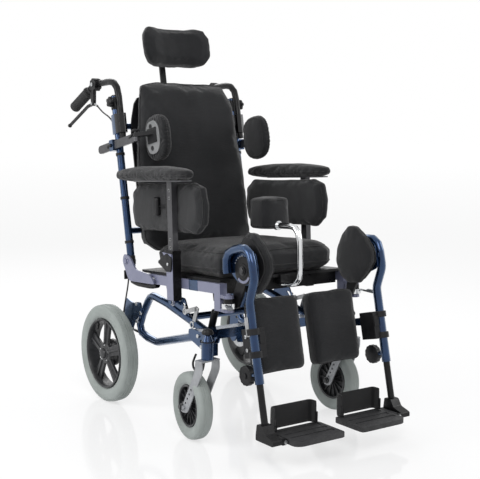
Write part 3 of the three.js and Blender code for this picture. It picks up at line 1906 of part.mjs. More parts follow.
// Leg tube: the swan-neck arch over the hub, its quadrant plate, the calf clamp and the height knob
function legTube() {
  const arch = bentTube(
    [
      at(postOut, -archRadius, 0),
      at(postOut, -archRadius, archRadius),
      at(postOut, archRadius, archRadius),
      at(postOut, archRadius, -archRadius * half),
      at(postOut, legTubeAhead, -archRadius - tubeRadius * 2),
      at(postOut, legTubeAhead, -legTubeDown),
    ],
    archRadius * (3 / 4),
    tubeRadius,
  );
  const quadrant = sidePlate(
    [
      spot(-archRadius, 0),
      spot(-archRadius * half, -archRadius * half),
      spot(0, -quadrantRadius),
      spot(quadrantRadius * half, -quadrantRadius),
      spot(archRadius, -archRadius * half),
      spot(archRadius, quadrantRadius),
      spot(quadrantRadius * half, archRadius),
      spot(-quadrantRadius * half, archRadius),
      spot(-archRadius, quadrantRadius),
    ],
    legFaceInner,
    legFaceInner + quadrantThickness,
    tubeRadius,
  );
  const arcSlot = sidePlate(
    [
      spot(-quadrantRadius * (3 / 4), quadrantRadius * (1 / 4)),
      spot(-quadrantRadius * half, quadrantRadius * (3 / 4)),
      spot(0, quadrantRadius),
      spot(0, quadrantRadius * (3 / 4)),
      spot(-quadrantRadius * (2 / 5), quadrantRadius * half),
      spot(-quadrantRadius * half, quadrantRadius * (1 / 4)),
    ],
    legFaceInner - overrun,
    legFaceInner + quadrantThickness + overrun,
  );
  const hubBore = crossRod(
    legFaceInner - overrun,
    legFaceInner + quadrantThickness + overrun,
    0,
    0,
    bushRadius,
    boreSides,
  );
  const quadrantSeat = block(
    legFaceInner + quadrantThickness - fit,
    postOut,
    archRadius - tubeRadius * half,
    archRadius + tubeRadius * half,
    0,
    tubeRadius,
  );
  const clamp = block(
    clampInner,
    postOut,
    -tubeRadius * 2,
    legTubeAhead + tubeRadius * (1 / 3),
    -clampLowDown,
    -clampHighDown,
  );
  const calfArm = sidePlate(
    [
      spot(0, -calfMiddleDown - tubeRadius),
      spot(0, -calfMiddleDown + tubeRadius),
      spot(calfPinAhead - boltHeadRadius, -calfMiddleDown + boltHeadRadius),
      spot(calfPinAhead - boltHeadRadius, -calfMiddleDown - boltHeadRadius),
    ],
    clampInner,
    clampInner + hubPlateThickness,
    boltRadius,
  );
  const calfPin = crossRod(
    calfMiddleOut - calfLugSpread - hubPlateThickness,
    clampInner + fit,
    calfPinAhead,
    -calfMiddleDown,
    boltRadius,
    fineSides,
  );
  const collars = [clampHighDown, clampLowDown - clampRadius].map((down) =>
    rod(
      at(postOut, legTubeAhead, -down - clampRadius),
      at(postOut, legTubeAhead, -down),
      clampRadius,
      boreSides,
    ),
  );
  const knob = crossRod(
    postOut - knobThickness * half,
    postOut + knobThickness * half,
    -knobRadius,
    -knobDown,
    knobRadius,
    boreSides,
  );
  const knobStem = rod(
    at(postOut, -knobRadius, -knobDown),
    at(postOut, legTubeAhead - lowerTubeRadius - fit, -knobDown),
    boltRadius,
    fineSides,
  );
  const bore = rod(
    at(postOut, legTubeAhead, -legTubeDown - overrun),
    at(postOut, legTubeAhead, -lowerTubeTopDown + calfPadThickness * 2 + runningFit),
    lowerTubeRadius + fit * 3,
    boreSides,
  );
  return join(cut(join(arch, quadrantSeat, clamp, calfArm, calfPin, ...collars, knobStem, cut(quadrant, arcSlot, hubBore)), bore), knob);
}

const kneeShares = [
  [-0.12, -0.4],
  [0.14, -0.38],
  [0.34, -0.2],
  [0.5, 0.02],
  [0.48, 0.2],
  [0.3, 0.42],
  [0.08, 0.58],
  [-0.1, 0.6],
  [-0.28, 0.44],
  [-0.42, 0.2],
  [-0.46, -0.04],
  [-0.34, -0.28],
];
const kneeRings = [
  [0.84, 0],
  [0.97, 0.2],
  [1, 0.5],
  [0.95, 0.8],
  [0.76, 1],
  [0.4, 1.08],
];
const calfRings = [
  [0.9, 0],
  [0.98, 0.14],
  [1, 0.5],
  [0.98, 0.84],
  [0.88, 1],
  [0.45, 1.1],
];
// Calf pad with two lugs at its back that turn on the arm's pin
function calfPad() {
  const pad = padded(
    outlinePoints(boxOutline(calfHalfWide, calfHalfHigh), calfHalfWide * (1 / 4), 16),
    calfRings,
    (x, y, level) => at(calfMiddleOut + x, calfPadAhead + (level - half) * calfPadThickness, -calfMiddleDown + y),
  );
  const lugs = [-calfLugSpread, calfLugSpread].map((side) =>
    cut(
      sidePlate(
        [
          spot(calfPadAhead, -calfMiddleDown - boltHeadRadius * 2),
          spot(calfPadAhead, -calfMiddleDown + boltHeadRadius * 2),
          spot(calfPinAhead - boltHeadRadius, -calfMiddleDown + boltHeadRadius),
          spot(calfPinAhead - boltHeadRadius, -calfMiddleDown - boltHeadRadius),
        ],
        calfMiddleOut + side - plateThickness,
        calfMiddleOut + side + plateThickness,
        boltRadius,
      ),
      crossRod(
        calfMiddleOut + side - plateThickness - overrun,
        calfMiddleOut + side + plateThickness + overrun,
        calfPinAhead,
        -calfMiddleDown,
        bushRadius,
        boreSides,
      ),
    ),
  );
  return join(pad, ...lugs);
}

const legs = [];
bothSides(seat, (side, hand) => {
  const swing = pivotGroup(side, `leg_swing_${hand}`, at(0, postAhead, 0));
  piece(swing, `leg_bracket_${hand}`, legBracket(), blackSteel);
  const kneePad = cut(
    padded(
      kneeShares.map(([long, high]) => spot(long * kneePadDeep, high * kneePadHigh)),
      kneeRings,
      (x, y, level) =>
        at(
          kneePadOut + kneePadThickness * half - level * kneePadThickness,
          hubAhead - postAhead + x,
          hubUp + y,
        ),
    ),
    crossRod(
      kneePadOut,
      kneePadOut + kneePadThickness,
      hubAhead - postAhead,
      hubUp,
      boltRadius + runningFit,
      boreSides,
    ),
  );
  piece(swing, `knee_pad_${hand}`, kneePad, blackCloth);
  const leg = pivotGroup(swing, `leg_${hand}`, at(0, hubAhead - postAhead, hubUp), legAngle - seatPitch);
  piece(leg, `leg_tube_${hand}`, legTube(), bluePaint);
  piece(leg, `calf_pad_${hand}`, calfPad(), blackCloth);
  legs.push({ leg, hand });
});

// Foot: the lower tube slides in the leg tube and ends in a housing with the footplate's hinge pin.
// The housing and the footplate are drawn level, from the foot of the tube.
const hingeOut = postOut - tubeRadius * 2 + fit * 3;
const housingInner = hingeOut + hingeRadius * (3 / 4);
const plateMiddleUp = -footplateDrop - footplateThickness * half;
const hingePinRadius = hingeRadius * (1 / 3);
const barrelRadius = hingeRadius * (2 / 3);
const housingBackAhead = -tubeRadius * (4 / 3);
const housingFrontAhead = footplateDeep * half;
const earDeep = hubPlateThickness;
const footplateBackAhead = housingBackAhead - plateThickness;
const footplateFrontAhead = footplateBackAhead + footplateDeep;

function alongRod(out, up, backAhead, frontAhead, radius, sides) {
  return rod(at(out, backAhead, up), at(out, frontAhead, up), radius, sides);
}

function footHousing() {
  const outer = postOut + footRaisedWidth * half;
  const body = sidePlate(
    [
      spot(housingBackAhead, -footplateDrop - footplateThickness),
      spot(housingFrontAhead, -footplateDrop - footplateThickness),
      spot(housingFrontAhead, -footplateDrop),
      spot(tubeRadius * 2, -footplateDrop + footRaisedHigh),
      spot(tubeRadius, 0),
      spot(-tubeRadius, 0),
      spot(housingBackAhead, -footplateDrop),
    ],
    housingInner,
    outer,
    plateThickness,
  );
  const ears = [housingBackAhead, housingFrontAhead - earDeep].map((start) =>
    join(
      alongRod(hingeOut, plateMiddleUp, start, start + earDeep, barrelRadius, boreSides),
      block(
        hingeOut,
        housingInner + fit,
        start,
        start + earDeep,
        plateMiddleUp - barrelRadius + fit,
        plateMiddleUp + barrelRadius - fit,
      ),
    ),
  );
  const pin = alongRod(hingeOut, plateMiddleUp, housingBackAhead, housingFrontAhead, hingePinRadius, fineSides);
  return join(body, ...ears, pin);
}

function lowerTube() {
  const housing = footHousing().rotateX(THREE.MathUtils.degToRad(legAngle));
  return join(
    rod(at(postOut, legTubeAhead, -lowerTubeTopDown), at(postOut, legTubeAhead, -footDown), lowerTubeRadius),
    housing.translate(0, -legTubeAhead, -footDown),
  );
}

// Footplate: a ribbed tray with a raised rear edge, on a barrel round the hinge pin
function footplate() {
  const tray = flatPlate(
    [
      spot(footplateInner, footplateBackAhead),
      spot(hingeOut - barrelRadius, footplateBackAhead),
      spot(hingeOut - barrelRadius, footplateFrontAhead - hingeRadius),
      spot(hingeOut - barrelRadius * 3, footplateFrontAhead),
      spot(footplateInner, footplateFrontAhead),
    ],
    -footplateDrop - footplateThickness,
    -footplateDrop,
    hingeRadius,
  );
  const barrelBack = housingBackAhead + earDeep + fit * 2;
  const barrelFront = housingFrontAhead - earDeep - fit * 2;
  const barrel = join(
    alongRod(hingeOut, plateMiddleUp, barrelBack, barrelFront, barrelRadius, boreSides),
    block(
      hingeOut - barrelRadius - fit,
      hingeOut,
      barrelBack,
      barrelFront,
      plateMiddleUp - footplateThickness * (1 / 3),
      plateMiddleUp + footplateThickness * (1 / 3),
    ),
  );
  const bore = alongRod(
    hingeOut,
    plateMiddleUp,
    barrelBack - overrun,
    barrelFront + overrun,
    hingePinRadius + runningFit,
    boreSides,
  );
  const recess = [1, 2, 3].map((row) =>
    block(
      footplateInner + hingeRadius,
      hingeOut - barrelRadius - hingeRadius,
      footplateBackAhead + (row - half) * footplateDeep * (1 / 4),
      footplateBackAhead + row * footplateDeep * (1 / 4),
      -footplateDrop - plateThickness * half,
      -footplateDrop + overrun,
    ),
  );
  return cut(join(tray, barrel), bore, ...recess);
}

// Heel strap: a band that stands on the footplate's rear edge and bows back behind the heel
function heelStrap() {
  const low = -footplateDrop + fit;
  const middle = (footplateInner + hingeOut) * half;
  const wide = (hingeOut - footplateInner) * (2 / 5);
  const bowed = sweep(
    [
      at(middle - wide, footplateBackAhead + hingeRadius, low + strapHigh * half),
      at(middle - wide, footplateBackAhead - hingeRadius, low + strapHigh * half),
      at(middle + wide, footplateBackAhead - hingeRadius, low + strapHigh * half),
      at(middle + wide, footplateBackAhead + hingeRadius, low + strapHigh * half),
    ],
    hingeRadius,
    barSection(strapHigh, strapThickness),
  );
  return bowed;
}

legs.forEach(({ leg, hand }) => {
  const foot = pivotGroup(leg, `foot_${hand}`, at(0, 0, 0));
  piece(foot, `leg_lower_tube_${hand}`, lowerTube(), blackSteel);
  const level = pivotGroup(foot, `footplate_hinge_${hand}`, at(0, legTubeAhead, -footDown), -legAngle);
  piece(level, `footplate_${hand}`, footplate(), blackPlastic);
  piece(level, `heel_strap_${hand}`, heelStrap(), blackCloth);
});

// Tilt gas spring: its cylinder turns on the front cross tube's lugs, its rod carries the seat's lugs
const seatTurn = THREE.MathUtils.degToRad(seatPitch);
const springHead = spot(
  tiltAhead + springTopAhead * Math.cos(seatTurn) - springTopUp * Math.sin(seatTurn),
  tiltUp + springTopAhead * Math.sin(seatTurn) + springTopUp * Math.cos(seatTurn),
);
const springSpan = Math.hypot(springHead.x - springAhead, springHead.y - springUp);
const springLean = THREE.MathUtils.radToDeg(Math.atan2(springHead.x - springAhead, springHead.y - springUp));
const spring = pivotGroup(base, "tilt_spring", at(-springOut, springAhead, springUp), -springLean);

function springEye(up, boreRadius) {
  const eye = crossRod(-springEyeHalfWide, springEyeHalfWide, 0, up, springEyeRadius, boreSides);
  return [eye, crossRod(-springEyeHalfWide - overrun, springEyeHalfWide + overrun, 0, up, boreRadius, boreSides)];
}

const [lowerEye, lowerBore] = springEye(0, springRodRadius * half + runningFit);
const cylinderTop = springCylinderLength + springEyeRadius;
piece(
  spring,
  "tilt_spring_cylinder",
  cut(
    join(
      lowerEye,
      rod(at(0, 0, springEyeRadius * 2), at(0, 0, cylinderTop), springCylinderRadius, boreSides),
      block(
        -springEyeHalfWide,
        springEyeHalfWide,
        -springEyeRadius * half,
        springEyeRadius * half,
        springEyeRadius * half,
        springEyeRadius * 2 + fit,
      ),
    ),
    lowerBore,
    rod(at(0, 0, springEyeRadius * 3), at(0, 0, cylinderTop + overrun), springRodRadius + fit * 2, boreSides),
  ),
  blackSteel,
);
const [upperEye, upperBore] = springEye(springSpan, springRodRadius + runningFit);
piece(
  spring,
  "tilt_spring_rod",
  cut(
    join(
      upperEye,
      rod(
        at(0, 0, springEyeRadius * 3 + runningFit),
        at(0, 0, springSpan - springEyeRadius * half),
        springRodRadius,
        fineSides,
      ),
    ),
    upperBore,
  ),
  chromeSteel,
);

// The origin is under the middle of the whole chair, on the ground
wheelchair.updateMatrixWorld(true);
const extent = new THREE.Box3().setFromObject(wheelchair, true);
const centre = extent.getCenter(new THREE.Vector3());
wheelchair.position.set(-centre.x, -centre.y, -extent.min.z);

export default wheelchair;
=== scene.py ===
# A tilt in space wheelchair: a padded seat and back that tilt as one on a low blue tube frame.
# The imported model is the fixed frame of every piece; metres, the user faces -Y and +Z is up.
import math

import bmesh
import bpy
from mathutils import Matrix, Vector, noise
from mathutils.bvhtree import BVHTree


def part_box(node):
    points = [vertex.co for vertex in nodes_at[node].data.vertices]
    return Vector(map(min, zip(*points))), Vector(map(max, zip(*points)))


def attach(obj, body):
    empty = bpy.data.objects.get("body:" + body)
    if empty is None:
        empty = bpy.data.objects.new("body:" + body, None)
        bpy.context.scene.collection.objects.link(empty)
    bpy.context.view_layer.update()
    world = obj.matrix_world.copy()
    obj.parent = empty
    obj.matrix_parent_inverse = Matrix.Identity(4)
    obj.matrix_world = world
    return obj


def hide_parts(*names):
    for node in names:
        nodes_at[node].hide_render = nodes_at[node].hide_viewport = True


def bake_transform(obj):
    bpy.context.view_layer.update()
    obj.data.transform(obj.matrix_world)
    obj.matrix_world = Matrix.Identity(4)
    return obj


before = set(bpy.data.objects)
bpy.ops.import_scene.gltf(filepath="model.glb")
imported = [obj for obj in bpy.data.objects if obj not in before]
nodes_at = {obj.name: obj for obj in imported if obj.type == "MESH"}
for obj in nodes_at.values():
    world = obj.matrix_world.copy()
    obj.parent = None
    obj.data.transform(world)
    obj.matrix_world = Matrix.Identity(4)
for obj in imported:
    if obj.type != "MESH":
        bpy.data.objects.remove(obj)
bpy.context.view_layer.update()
scene = bpy.context.scene

# The camera stands at the photograph's place: in front of the chair, to the user's right,
# a little over seat height, with a long lens and a slight roll.
camera = bpy.data.objects.new("camera", bpy.data.cameras.new("camera"))
scene.collection.objects.link(camera)
azimuth, elevation, roll = (math.radians(a) for a in (-35.84, 6.8, 0.64))
backward = Vector(
    (math.sin(azimuth) * math.cos(elevation), -math.cos(azimuth) * math.cos(elevation), math.sin(elevation))
)
level = Vector((math.cos(azimuth), math.sin(azimuth), 0))
upright = backward.cross(level)
across = level * math.cos(roll) + upright * math.sin(roll)
raised = upright * math.cos(roll) - level * math.sin(roll)
camera.matrix_world = Matrix.Translation((-1.7797, -2.54686, 0.9)) @ (
    Matrix((across, raised, backward)).transposed().to_4x4()
)
camera.data.sensor_fit = "HORIZONTAL"
camera.data.sensor_width = 36
camera.data.lens = 74.9
camera.data.clip_end = 50
scene.camera = camera
scene.view_settings.view_transform = "Standard"


# The brake cables: black 5 mm housings that run from each lever's perch down behind the cane, through its
# clips, and past the seat's pivot to the drum. Each is made as an upper, a middle and a lower run, all fixed in place.
def body_frame(origin, pitch=0.0):
    """What turns millimetres out, ahead and up of a body's origin into a point, and its ahead and up."""
    place = Matrix.Translation(origin) @ Matrix.Rotation(math.radians(-pitch), 4, "X")
    turned_by = place.to_3x3()
    return (
        lambda out, ahead, up: place @ Vector((out / 1000, -ahead / 1000, up / 1000)),
        turned_by @ Vector((0, -1, 0)),
        turned_by @ Vector((0, 0, 1)),
    )


middle_x = 0.000275  # the plane that right and left mirror in
at_cane, back_ahead, back_up = body_frame((middle_x, 0.18702, 0.45606), 11.64)
at_rail, seat_ahead, seat_up = body_frame((middle_x, -0.036864, 0.3586), 3.25)
OUT = Vector((1, 0, 0))
UP = Vector((0, 0, 1))
hands = (("right", -1), ("left", 1))


def node_of(tree, kind, inputs=(), **settings):
    """A new node with its settings; each input is fed by a socket or set to a value."""
    made = tree.nodes.new(kind)
    for name, value in settings.items():
        setattr(made, name, value)
    for key, value in dict(inputs).items():
        feed(tree, made.inputs[key], value)
    return made


def feed(tree, socket, value):
    if isinstance(value, bpy.types.NodeSocket):
        tree.links.new(value, socket)
    else:
        socket.default_value = value


def noise_on(tree, scale, detail=4.0):
    where = node_of(tree, "ShaderNodeTexCoord").outputs["Object"]
    inputs = {"Scale": scale, "Detail": detail, "Roughness": 0.55, "Vector": where}
    return node_of(tree, "ShaderNodeTexNoise", inputs).outputs["Fac"]


def ramp_of(tree, source, low, high, start=0.35, end=0.65):
    """Numbers between two tones, or between two greys when they are plain numbers."""
    ramp = node_of(tree, "ShaderNodeValToRGB", {"Fac": source})
    for stop, place, tone in zip(ramp.color_ramp.elements, (start, end), (low, high)):
        stop.position = place
        stop.color = (*(tone if isinstance(tone, tuple) else (tone,) * 3), 1)
    return ramp.outputs["Color"]


def bump_of(tree, height, strength, distance):
    inputs = {"Strength": strength, "Distance": distance, "Height": height}
    return node_of(tree, "ShaderNodeBump", inputs).outputs["Normal"]


def new_finish(name, slot, colour_in, **inputs):
    """A material whose shader inputs are made by small functions of its tree, or are constants."""
    made = bpy.data.materials.new(name)
    made.use_nodes = True
    tree = made.node_tree
    shader = tree.nodes["Principled BSDF"]
    for label, value in {"Base_Color": colour_in, **inputs}.items():
        feed(tree, shader.inputs[label.replace("_", " ")], value(tree) if callable(value) else value)
    return made


def hard_finish(
    name, slot, low, high, gloss, metal=0.0, coat=0.0, grain=900.0, depth=0.05, drift=14.0, spread=0.1, specular=0.5
):
    """A hard surface: its colour drifts a little, with fine grain in its bump and uneven gloss."""
    return new_finish(
        name,
        slot,
        lambda tree: ramp_of(tree, noise_on(tree, drift), low, high),
        Roughness=lambda tree: ramp_of(tree, noise_on(tree, drift * 5), gloss - spread, gloss + spread),
        Normal=lambda tree: bump_of(tree, noise_on(tree, grain, 3.0), depth, 0.0006),
        Metallic=metal,
        Coat_Weight=coat,
        Coat_Roughness=0.08,
        Specular_IOR_Level=specular,
    )


def dress(node, finish):
    """A CAD node keeps its mesh: its triangles are only welded and shaded round, with its hard edges kept."""
    kept = nodes_at[node]
    kept.data.materials.clear()
    kept.data.materials.append(finish)
    for face in kept.data.polygons:
        face.material_index = 0
        face.use_smooth = True
    weld = kept.modifiers.new("weld", "WELD")
    weld.merge_threshold = 0.00002
    edges = kept.modifiers.new("edges", "EDGE_SPLIT")
    edges.split_angle = math.radians(50)
    edges.use_edge_sharp = False


def smooth_route(corners, steps):
    """A Catmull-Rom line through the corners."""
    line = []
    for i in range(len(corners) - 1):
        before = corners[i - 1] if i else corners[0] * 2 - corners[1]
        start, end = corners[i], corners[i + 1]
        after = corners[i + 2] if i + 2 < len(corners) else end * 2 - start
        for t in (k / steps for k in range(steps)):
            bend = (2 * before - 5 * start + 4 * end - after) * t * t
            twist = (3 * start - before - 3 * end + after) * t * t * t
            line.append(0.5 * (2 * start + (end - before) * t + bend + twist))
    line.append(corners[-1].copy())
    return line


def around(axis, steps):
    """Unit directions round an axis."""
    axis = axis.normalized()
    side = axis.orthogonal().normalized()
    other = axis.cross(side)
    return [side * math.cos(a) + other * math.sin(a) for a in (2 * math.pi * k / steps for k in range(steps))]


def joined_rings(rings, closed=False):
    """Faces between rings of equal count; the ends are capped unless the rings close on themselves."""
    points = [p for ring in rings for p in ring]
    count = len(rings[0])
    faces = []
    for i in range(len(rings) if closed else len(rings) - 1):
        low, high = i * count, ((i + 1) % len(rings)) * count
        for k in range(count):
            nxt = (k + 1) % count
            faces.append((low + k, low + nxt, high + nxt, high + k))
    if not closed:
        faces.append(tuple(reversed(range(count))))
        faces.append(tuple(range(len(points) - count, len(points))))
    return points, faces


def tube(line, radius, sides=16):
    """A closed tube round a line, with no twist."""
    rings = []
    side = (line[1] - line[0]).normalized().orthogonal().normalized()
    for i, point in enumerate(line):
        ahead = (line[min(i + 1, len(line) - 1)] - line[max(i - 1, 0)]).normalized()
        side = (side - ahead * side.dot(ahead)).normalized()
        other = ahead.cross(side)
        turns = (2 * math.pi * k / sides for k in range(sides))
        rings.append([point + (side * math.cos(a) + other * math.sin(a)) * radius for a in turns])
    return joined_rings(rings)


def placed(name, mesh, finish, body, sharp):
    """An object of this mesh and finish, shaded round below an angle, that rides on its body."""
    mesh.name = name
    made = bpy.data.objects.new(name, mesh)
    scene.collection.objects.link(made)
    mesh.materials.clear()
    mesh.materials.append(finish)
    for face in mesh.polygons:
        face.material_index = 0
        face.use_smooth = True
    mesh.set_sharp_from_angle(angle=math.radians(sharp))
    if body:
        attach(made, body)
    return made


def piece(name, parts, finish, body, sharp=38, bevel=0.0):
    """One piece from several closed shells, facing out."""
    mesh = bpy.data.meshes.new(name)
    built = bmesh.new()
    for points, faces in parts:
        corners = [built.verts.new(p) for p in points]
        for face in faces:
            built.faces.new([corners[i] for i in face])
    bmesh.ops.recalc_face_normals(built, faces=built.faces)
    built.to_mesh(mesh)
    built.free()
    made = placed(name, mesh, finish, body, sharp)
    if bevel:
        edge = made.modifiers.new("edge", "BEVEL")
        edge.width = bevel
        edge.segments = 2
        edge.limit_method = "ANGLE"
        edge.angle_limit = math.radians(40)
    return made


cable_skin = hard_finish(
    "cable_skin", "black_rubber", (0.012, 0.012, 0.013), (0.022, 0.022, 0.024), 0.42, depth=0.15, grain=1500
)
for hand, side in hands:
    behind_cane = (
        (-132, 529), (-118, 519), (-88, 494), (-40, 462), (-19.5, 425),
        (-19.2, 340), (-19.2, 200), (-19.2, 60), (-19.2, 10),
    )
    to_drum = ((228, -19.2, 10), (227, -23, -22), (226, -39, -70), (229, -82, -160), (233.2, -115, -253))
    upper = smooth_route([at_cane(228 * side, ahead, up) for ahead, up in behind_cane], 5)
    lower = smooth_route([at_cane(out * side, ahead, up) for out, ahead, up in to_drum], 7)
    for part, line in (("upper", upper), ("middle", lower[:15]), ("lower", lower[14:])):
        run = piece(f"brake_cable_{part}_{hand}", [tube(line, 0.0025, 12)], cable_skin, None)
        if part == "upper":
            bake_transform(run)
            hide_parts(f"brake_cable_{hand}")
        elif part == "middle":
            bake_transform(run)
        else:
            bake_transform(run)


# The floor and the light: a white studio sweep with a faint gloss, a big soft lamp ahead and above, a weaker
# one on each side and one behind that draws the edges of the tubes.
def math_of(tree, operation, first, second):
    return node_of(tree, "ShaderNodeMath", {0: first, 1: second}, operation=operation).outputs[0]


def seen_directly(tree):
    """One for rays from the camera and for mirrored or refracted ones; none for the light itself."""
    rays = node_of(tree, "ShaderNodeLightPath").outputs
    either = math_of(tree, "MAXIMUM", rays["Is Camera Ray"], rays["Is Glossy Ray"])
    return math_of(tree, "MAXIMUM", either, rays["Is Transmission Ray"])


sweep = new_finish("studio_floor", None, (0.9, 0.9, 0.91, 1), Roughness=0.09, Specular_IOR_Level=0.6)
tree = sweep.node_tree
paper = node_of(tree, "ShaderNodeEmission", {"Color": (1, 1, 1, 1), "Strength": 1.1})
share = math_of(tree, "MULTIPLY", seen_directly(tree), 0.6)
gloss = tree.nodes["Principled BSDF"]
inputs = {"Fac": share, 1: gloss.outputs["BSDF"], 2: paper.outputs["Emission"]}
blended = node_of(tree, "ShaderNodeMixShader", inputs)
feed(tree, tree.nodes["Material Output"].inputs["Surface"], blended.outputs["Shader"])
floor = bpy.data.objects.new("studio_floor", bpy.data.meshes.new("studio_floor"))
span, just_below = 30, -0.0004
corners = [(x, y, just_below) for x, y in ((-span, -span), (span, -span), (span, span), (-span, span))]
floor.data.from_pydata(corners, [], [(0, 1, 2, 3)])
floor.data.materials.append(sweep)
scene.collection.objects.link(floor)

scene.world = bpy.data.worlds.new("studio")
scene.world.use_nodes = True
tree = scene.world.node_tree
strength = node_of(tree, "ShaderNodeMapRange", {"To Min": 0.36, "To Max": 1.0, "Value": seen_directly(tree)})
feed(tree, tree.nodes["Background"].inputs["Color"], (1, 1, 1, 1))
feed(tree, tree.nodes["Background"].inputs["Strength"], strength.outputs["Result"])
for name, place, size, power in (
    ("lamp_key", (-1.6, -2.6, 3.0), 1.8, 50),
    ("lamp_left", (2.6, -1.2, 1.9), 1.6, 26),
    ("lamp_right", (-2.8, 0.6, 1.8), 1.6, 38),
    ("lamp_behind", (0.8, 2.6, 2.4), 1.8, 30),
):
    lamp = bpy.data.objects.new(name, bpy.data.lights.new(name, "AREA"))
    lamp.data.shape = "SQUARE"
    lamp.data.size = size
    lamp.data.energy = power
    lamp.location = place
    lamp.rotation_euler = (Vector((0, -0.1, 0.6)) - Vector(place)).to_track_quat("-Z", "Y").to_euler()
    scene.collection.objects.link(lamp)


# The base frame: 25 mm steel tube, bent and welded, in a metallic navy lacquer, with axle plates, pivot ears
# and caster brackets in the same coat. The lacquer turns paler where it is seen edge-on, a painted sheen, and a paler
# lavender copy of it is a painted highlight for flat parts that catch the light.
def lacquer(name, low, high, painted_edge_sheen, metallic, rough):
    def tone(tree):
        # The colour turns towards a paler tone where the surface is seen edge-on: a painted sheen of reflected light.
        facing = node_of(tree, "ShaderNodeLayerWeight", {"Blend": 0.35}).outputs["Facing"]
        body = ramp_of(tree, noise_on(tree, 22), low, high, 0.3, 0.7)
        inputs = {"Factor": facing, "A": body, "B": (*painted_edge_sheen, 1)}
        return node_of(tree, "ShaderNodeMix", inputs, data_type="RGBA").outputs["Result"]

    return new_finish(
        name,
        "blue_paint",
        tone,
        Roughness=lambda tree: ramp_of(tree, noise_on(tree, 60), rough, rough + 0.12),
        Normal=lambda tree: bump_of(tree, noise_on(tree, 1800, 2), 0.12, 0.0003),
        Metallic=metallic,
        Coat_Weight=0.6,
        Coat_Roughness=0.1,
    )


def slab(radius, low, high):
    return [(0, low), (radius, low), (radius, high), (0, high)]


def band(inner, outer, low, high):
    return [(inner, low), (outer, low), (outer, high), (inner, high)]


def turned(profile, centre, axis, steps=48, closed=False):
    """A closed shell turned from (radius, distance) pairs about an axis through centre."""
    axis = axis.normalized()
    ways = around(axis, steps)
    rings = [[centre + axis * along + way * max(radius, 0.00005) for way in ways] for radius, along in profile]
    return joined_rings(rings, closed)


def ring(profile, centre, axis, steps=96):
    """A ring turned from a closed outline of (radius, distance) pairs."""
    return turned(profile, centre, axis, steps, True)


def hexagon(centre, axis, size, height):
    return turned([(size, 0), (size, height * 0.8), (size * 0.86, height)], centre, axis, 6)


block_faces = [(0, 1, 3, 2), (4, 6, 7, 5), (0, 4, 5, 1), (2, 3, 7, 6), (0, 2, 6, 4), (1, 5, 7, 3)]


def block(middle, along, up, length, height, depth):
    """A plain block with its long side along one direction and its height along another."""
    along, up = along.normalized(), up.normalized()
    deep = along.cross(up)
    signs = [(a, b, c) for a in (-1, 1) for b in (-1, 1) for c in (-1, 1)]
    points = [middle + along * (length / 2 * a) + up * (height / 2 * b) + deep * (depth / 2 * c) for a, b, c in signs]
    return points, block_faces


def bent_route(corners, radius, steps):
    """Straight runs with rounded bends."""
    line = [corners[0]]
    for before, corner, after in zip(corners, corners[1:], corners[2:]):
        a, b = (before - corner), (after - corner)
        reach = min(radius, a.length * 0.48, b.length * 0.48)
        start, end = corner + a.normalized() * reach, corner + b.normalized() * reach
        for t in (k / steps for k in range(steps + 1)):
            line.append(start * (1 - t) ** 2 + corner * 2 * t * (1 - t) + end * t * t)
    line.append(corners[-1])
    return line


navy = lacquer("navy_lacquer", (0.004, 0.02, 0.066), (0.008, 0.034, 0.1), (0.06, 0.13, 0.26), 0.85, 0.16)
# A paler copy of the navy lacquer: a painted highlight for flat faces that catch the light.
lit_face_coat = lacquer("lavender_lacquer", (0.15, 0.16, 0.255), (0.19, 0.2, 0.3), (0.24, 0.25, 0.35), 0.25, 0.42)
zinc = hard_finish("zinc_bolts", "silver_steel", (0.42, 0.43, 0.44), (0.6, 0.61, 0.62), 0.32, metal=1.0, drift=60)
black_coat = hard_finish(
    "black_coat", "black_steel", (0.0045, 0.0045, 0.005), (0.009, 0.009, 0.01), 0.36, grain=1400, specular=0.22
)
post_grey = hard_finish(
    "post_grey", "black_steel", (0.04, 0.04, 0.044), (0.062, 0.062, 0.068), 0.4, metal=0.3, coat=0.2, grain=1400
)
black_moulding = hard_finish(
    "black_moulding",
    "black_plastic",
    (0.008, 0.008, 0.009),
    (0.018, 0.018, 0.0195),
    0.42,
    grain=700,
    depth=0.1,
    specular=0.22,
)
at_base = body_frame((middle_x, 0.241136, 0))[0]
for node in ("base_side_right", "base_side_left", "base_cross_tube_front", "base_cross_tube_rear"):
    dress(node, navy)

# Bolts and caps of the base: zinc hexagon bolts at the axle plates, pivot ears and brackets, and a black
# plastic cap and washer on each caster housing, pressed on.
for hand, side in hands:
    axle_plate = ((40, 232, 212.5), (66, 262, 212.5), (88, 292, 212.5), (62, 318, 212.5))
    ears_and_bracket = ((300, 366, 200.2), (330, 350, 200.2), (462, 290, 242.3), (480, 262, 242.3))
    places = [at_base(out * side, ahead, up) for ahead, up, out in axle_plate + ears_and_bracket]
    bolts = [hexagon(place, OUT * side, 0.0062, 0.0045) for place in places]
    piece(f"base_bolts_{hand}", bolts, zinc, "base")
    cap = [(0, -0.001), (0.0165, -0.001), (0.0168, 0.004), (0.0125, 0.0115), (0, 0.013)]
    parts = [
        turned(cap, at_base(263 * side, 540, 313.6), UP, 32),
        turned(slab(0.0195, 0, 0.003), at_base(263 * side, 540, 290), UP, 32),
    ]
    piece(f"caster_housing_cap_{hand}", parts, black_moulding, "base")

# Rear tyres: 12 inch, grey and non-marking, moulded in one with a fine block tread: two rows of short blocks on
# the crown and two rows of long slanted ones on the shoulders. They are stretched over the rims.
def new_tree(name, **kinds):
    """An empty geometry tree with a geometry in and out and these further inputs."""
    tree = bpy.data.node_groups.new(name, "GeometryNodeTree")
    for label, kind in {"Geometry": "Geometry", **kinds}.items():
        tree.interface.new_socket(name=label, in_out="INPUT", socket_type="NodeSocket" + kind)
    tree.interface.new_socket(name="Geometry", in_out="OUTPUT", socket_type="NodeSocketGeometry")
    return tree, node_of(tree, "NodeGroupInput").outputs


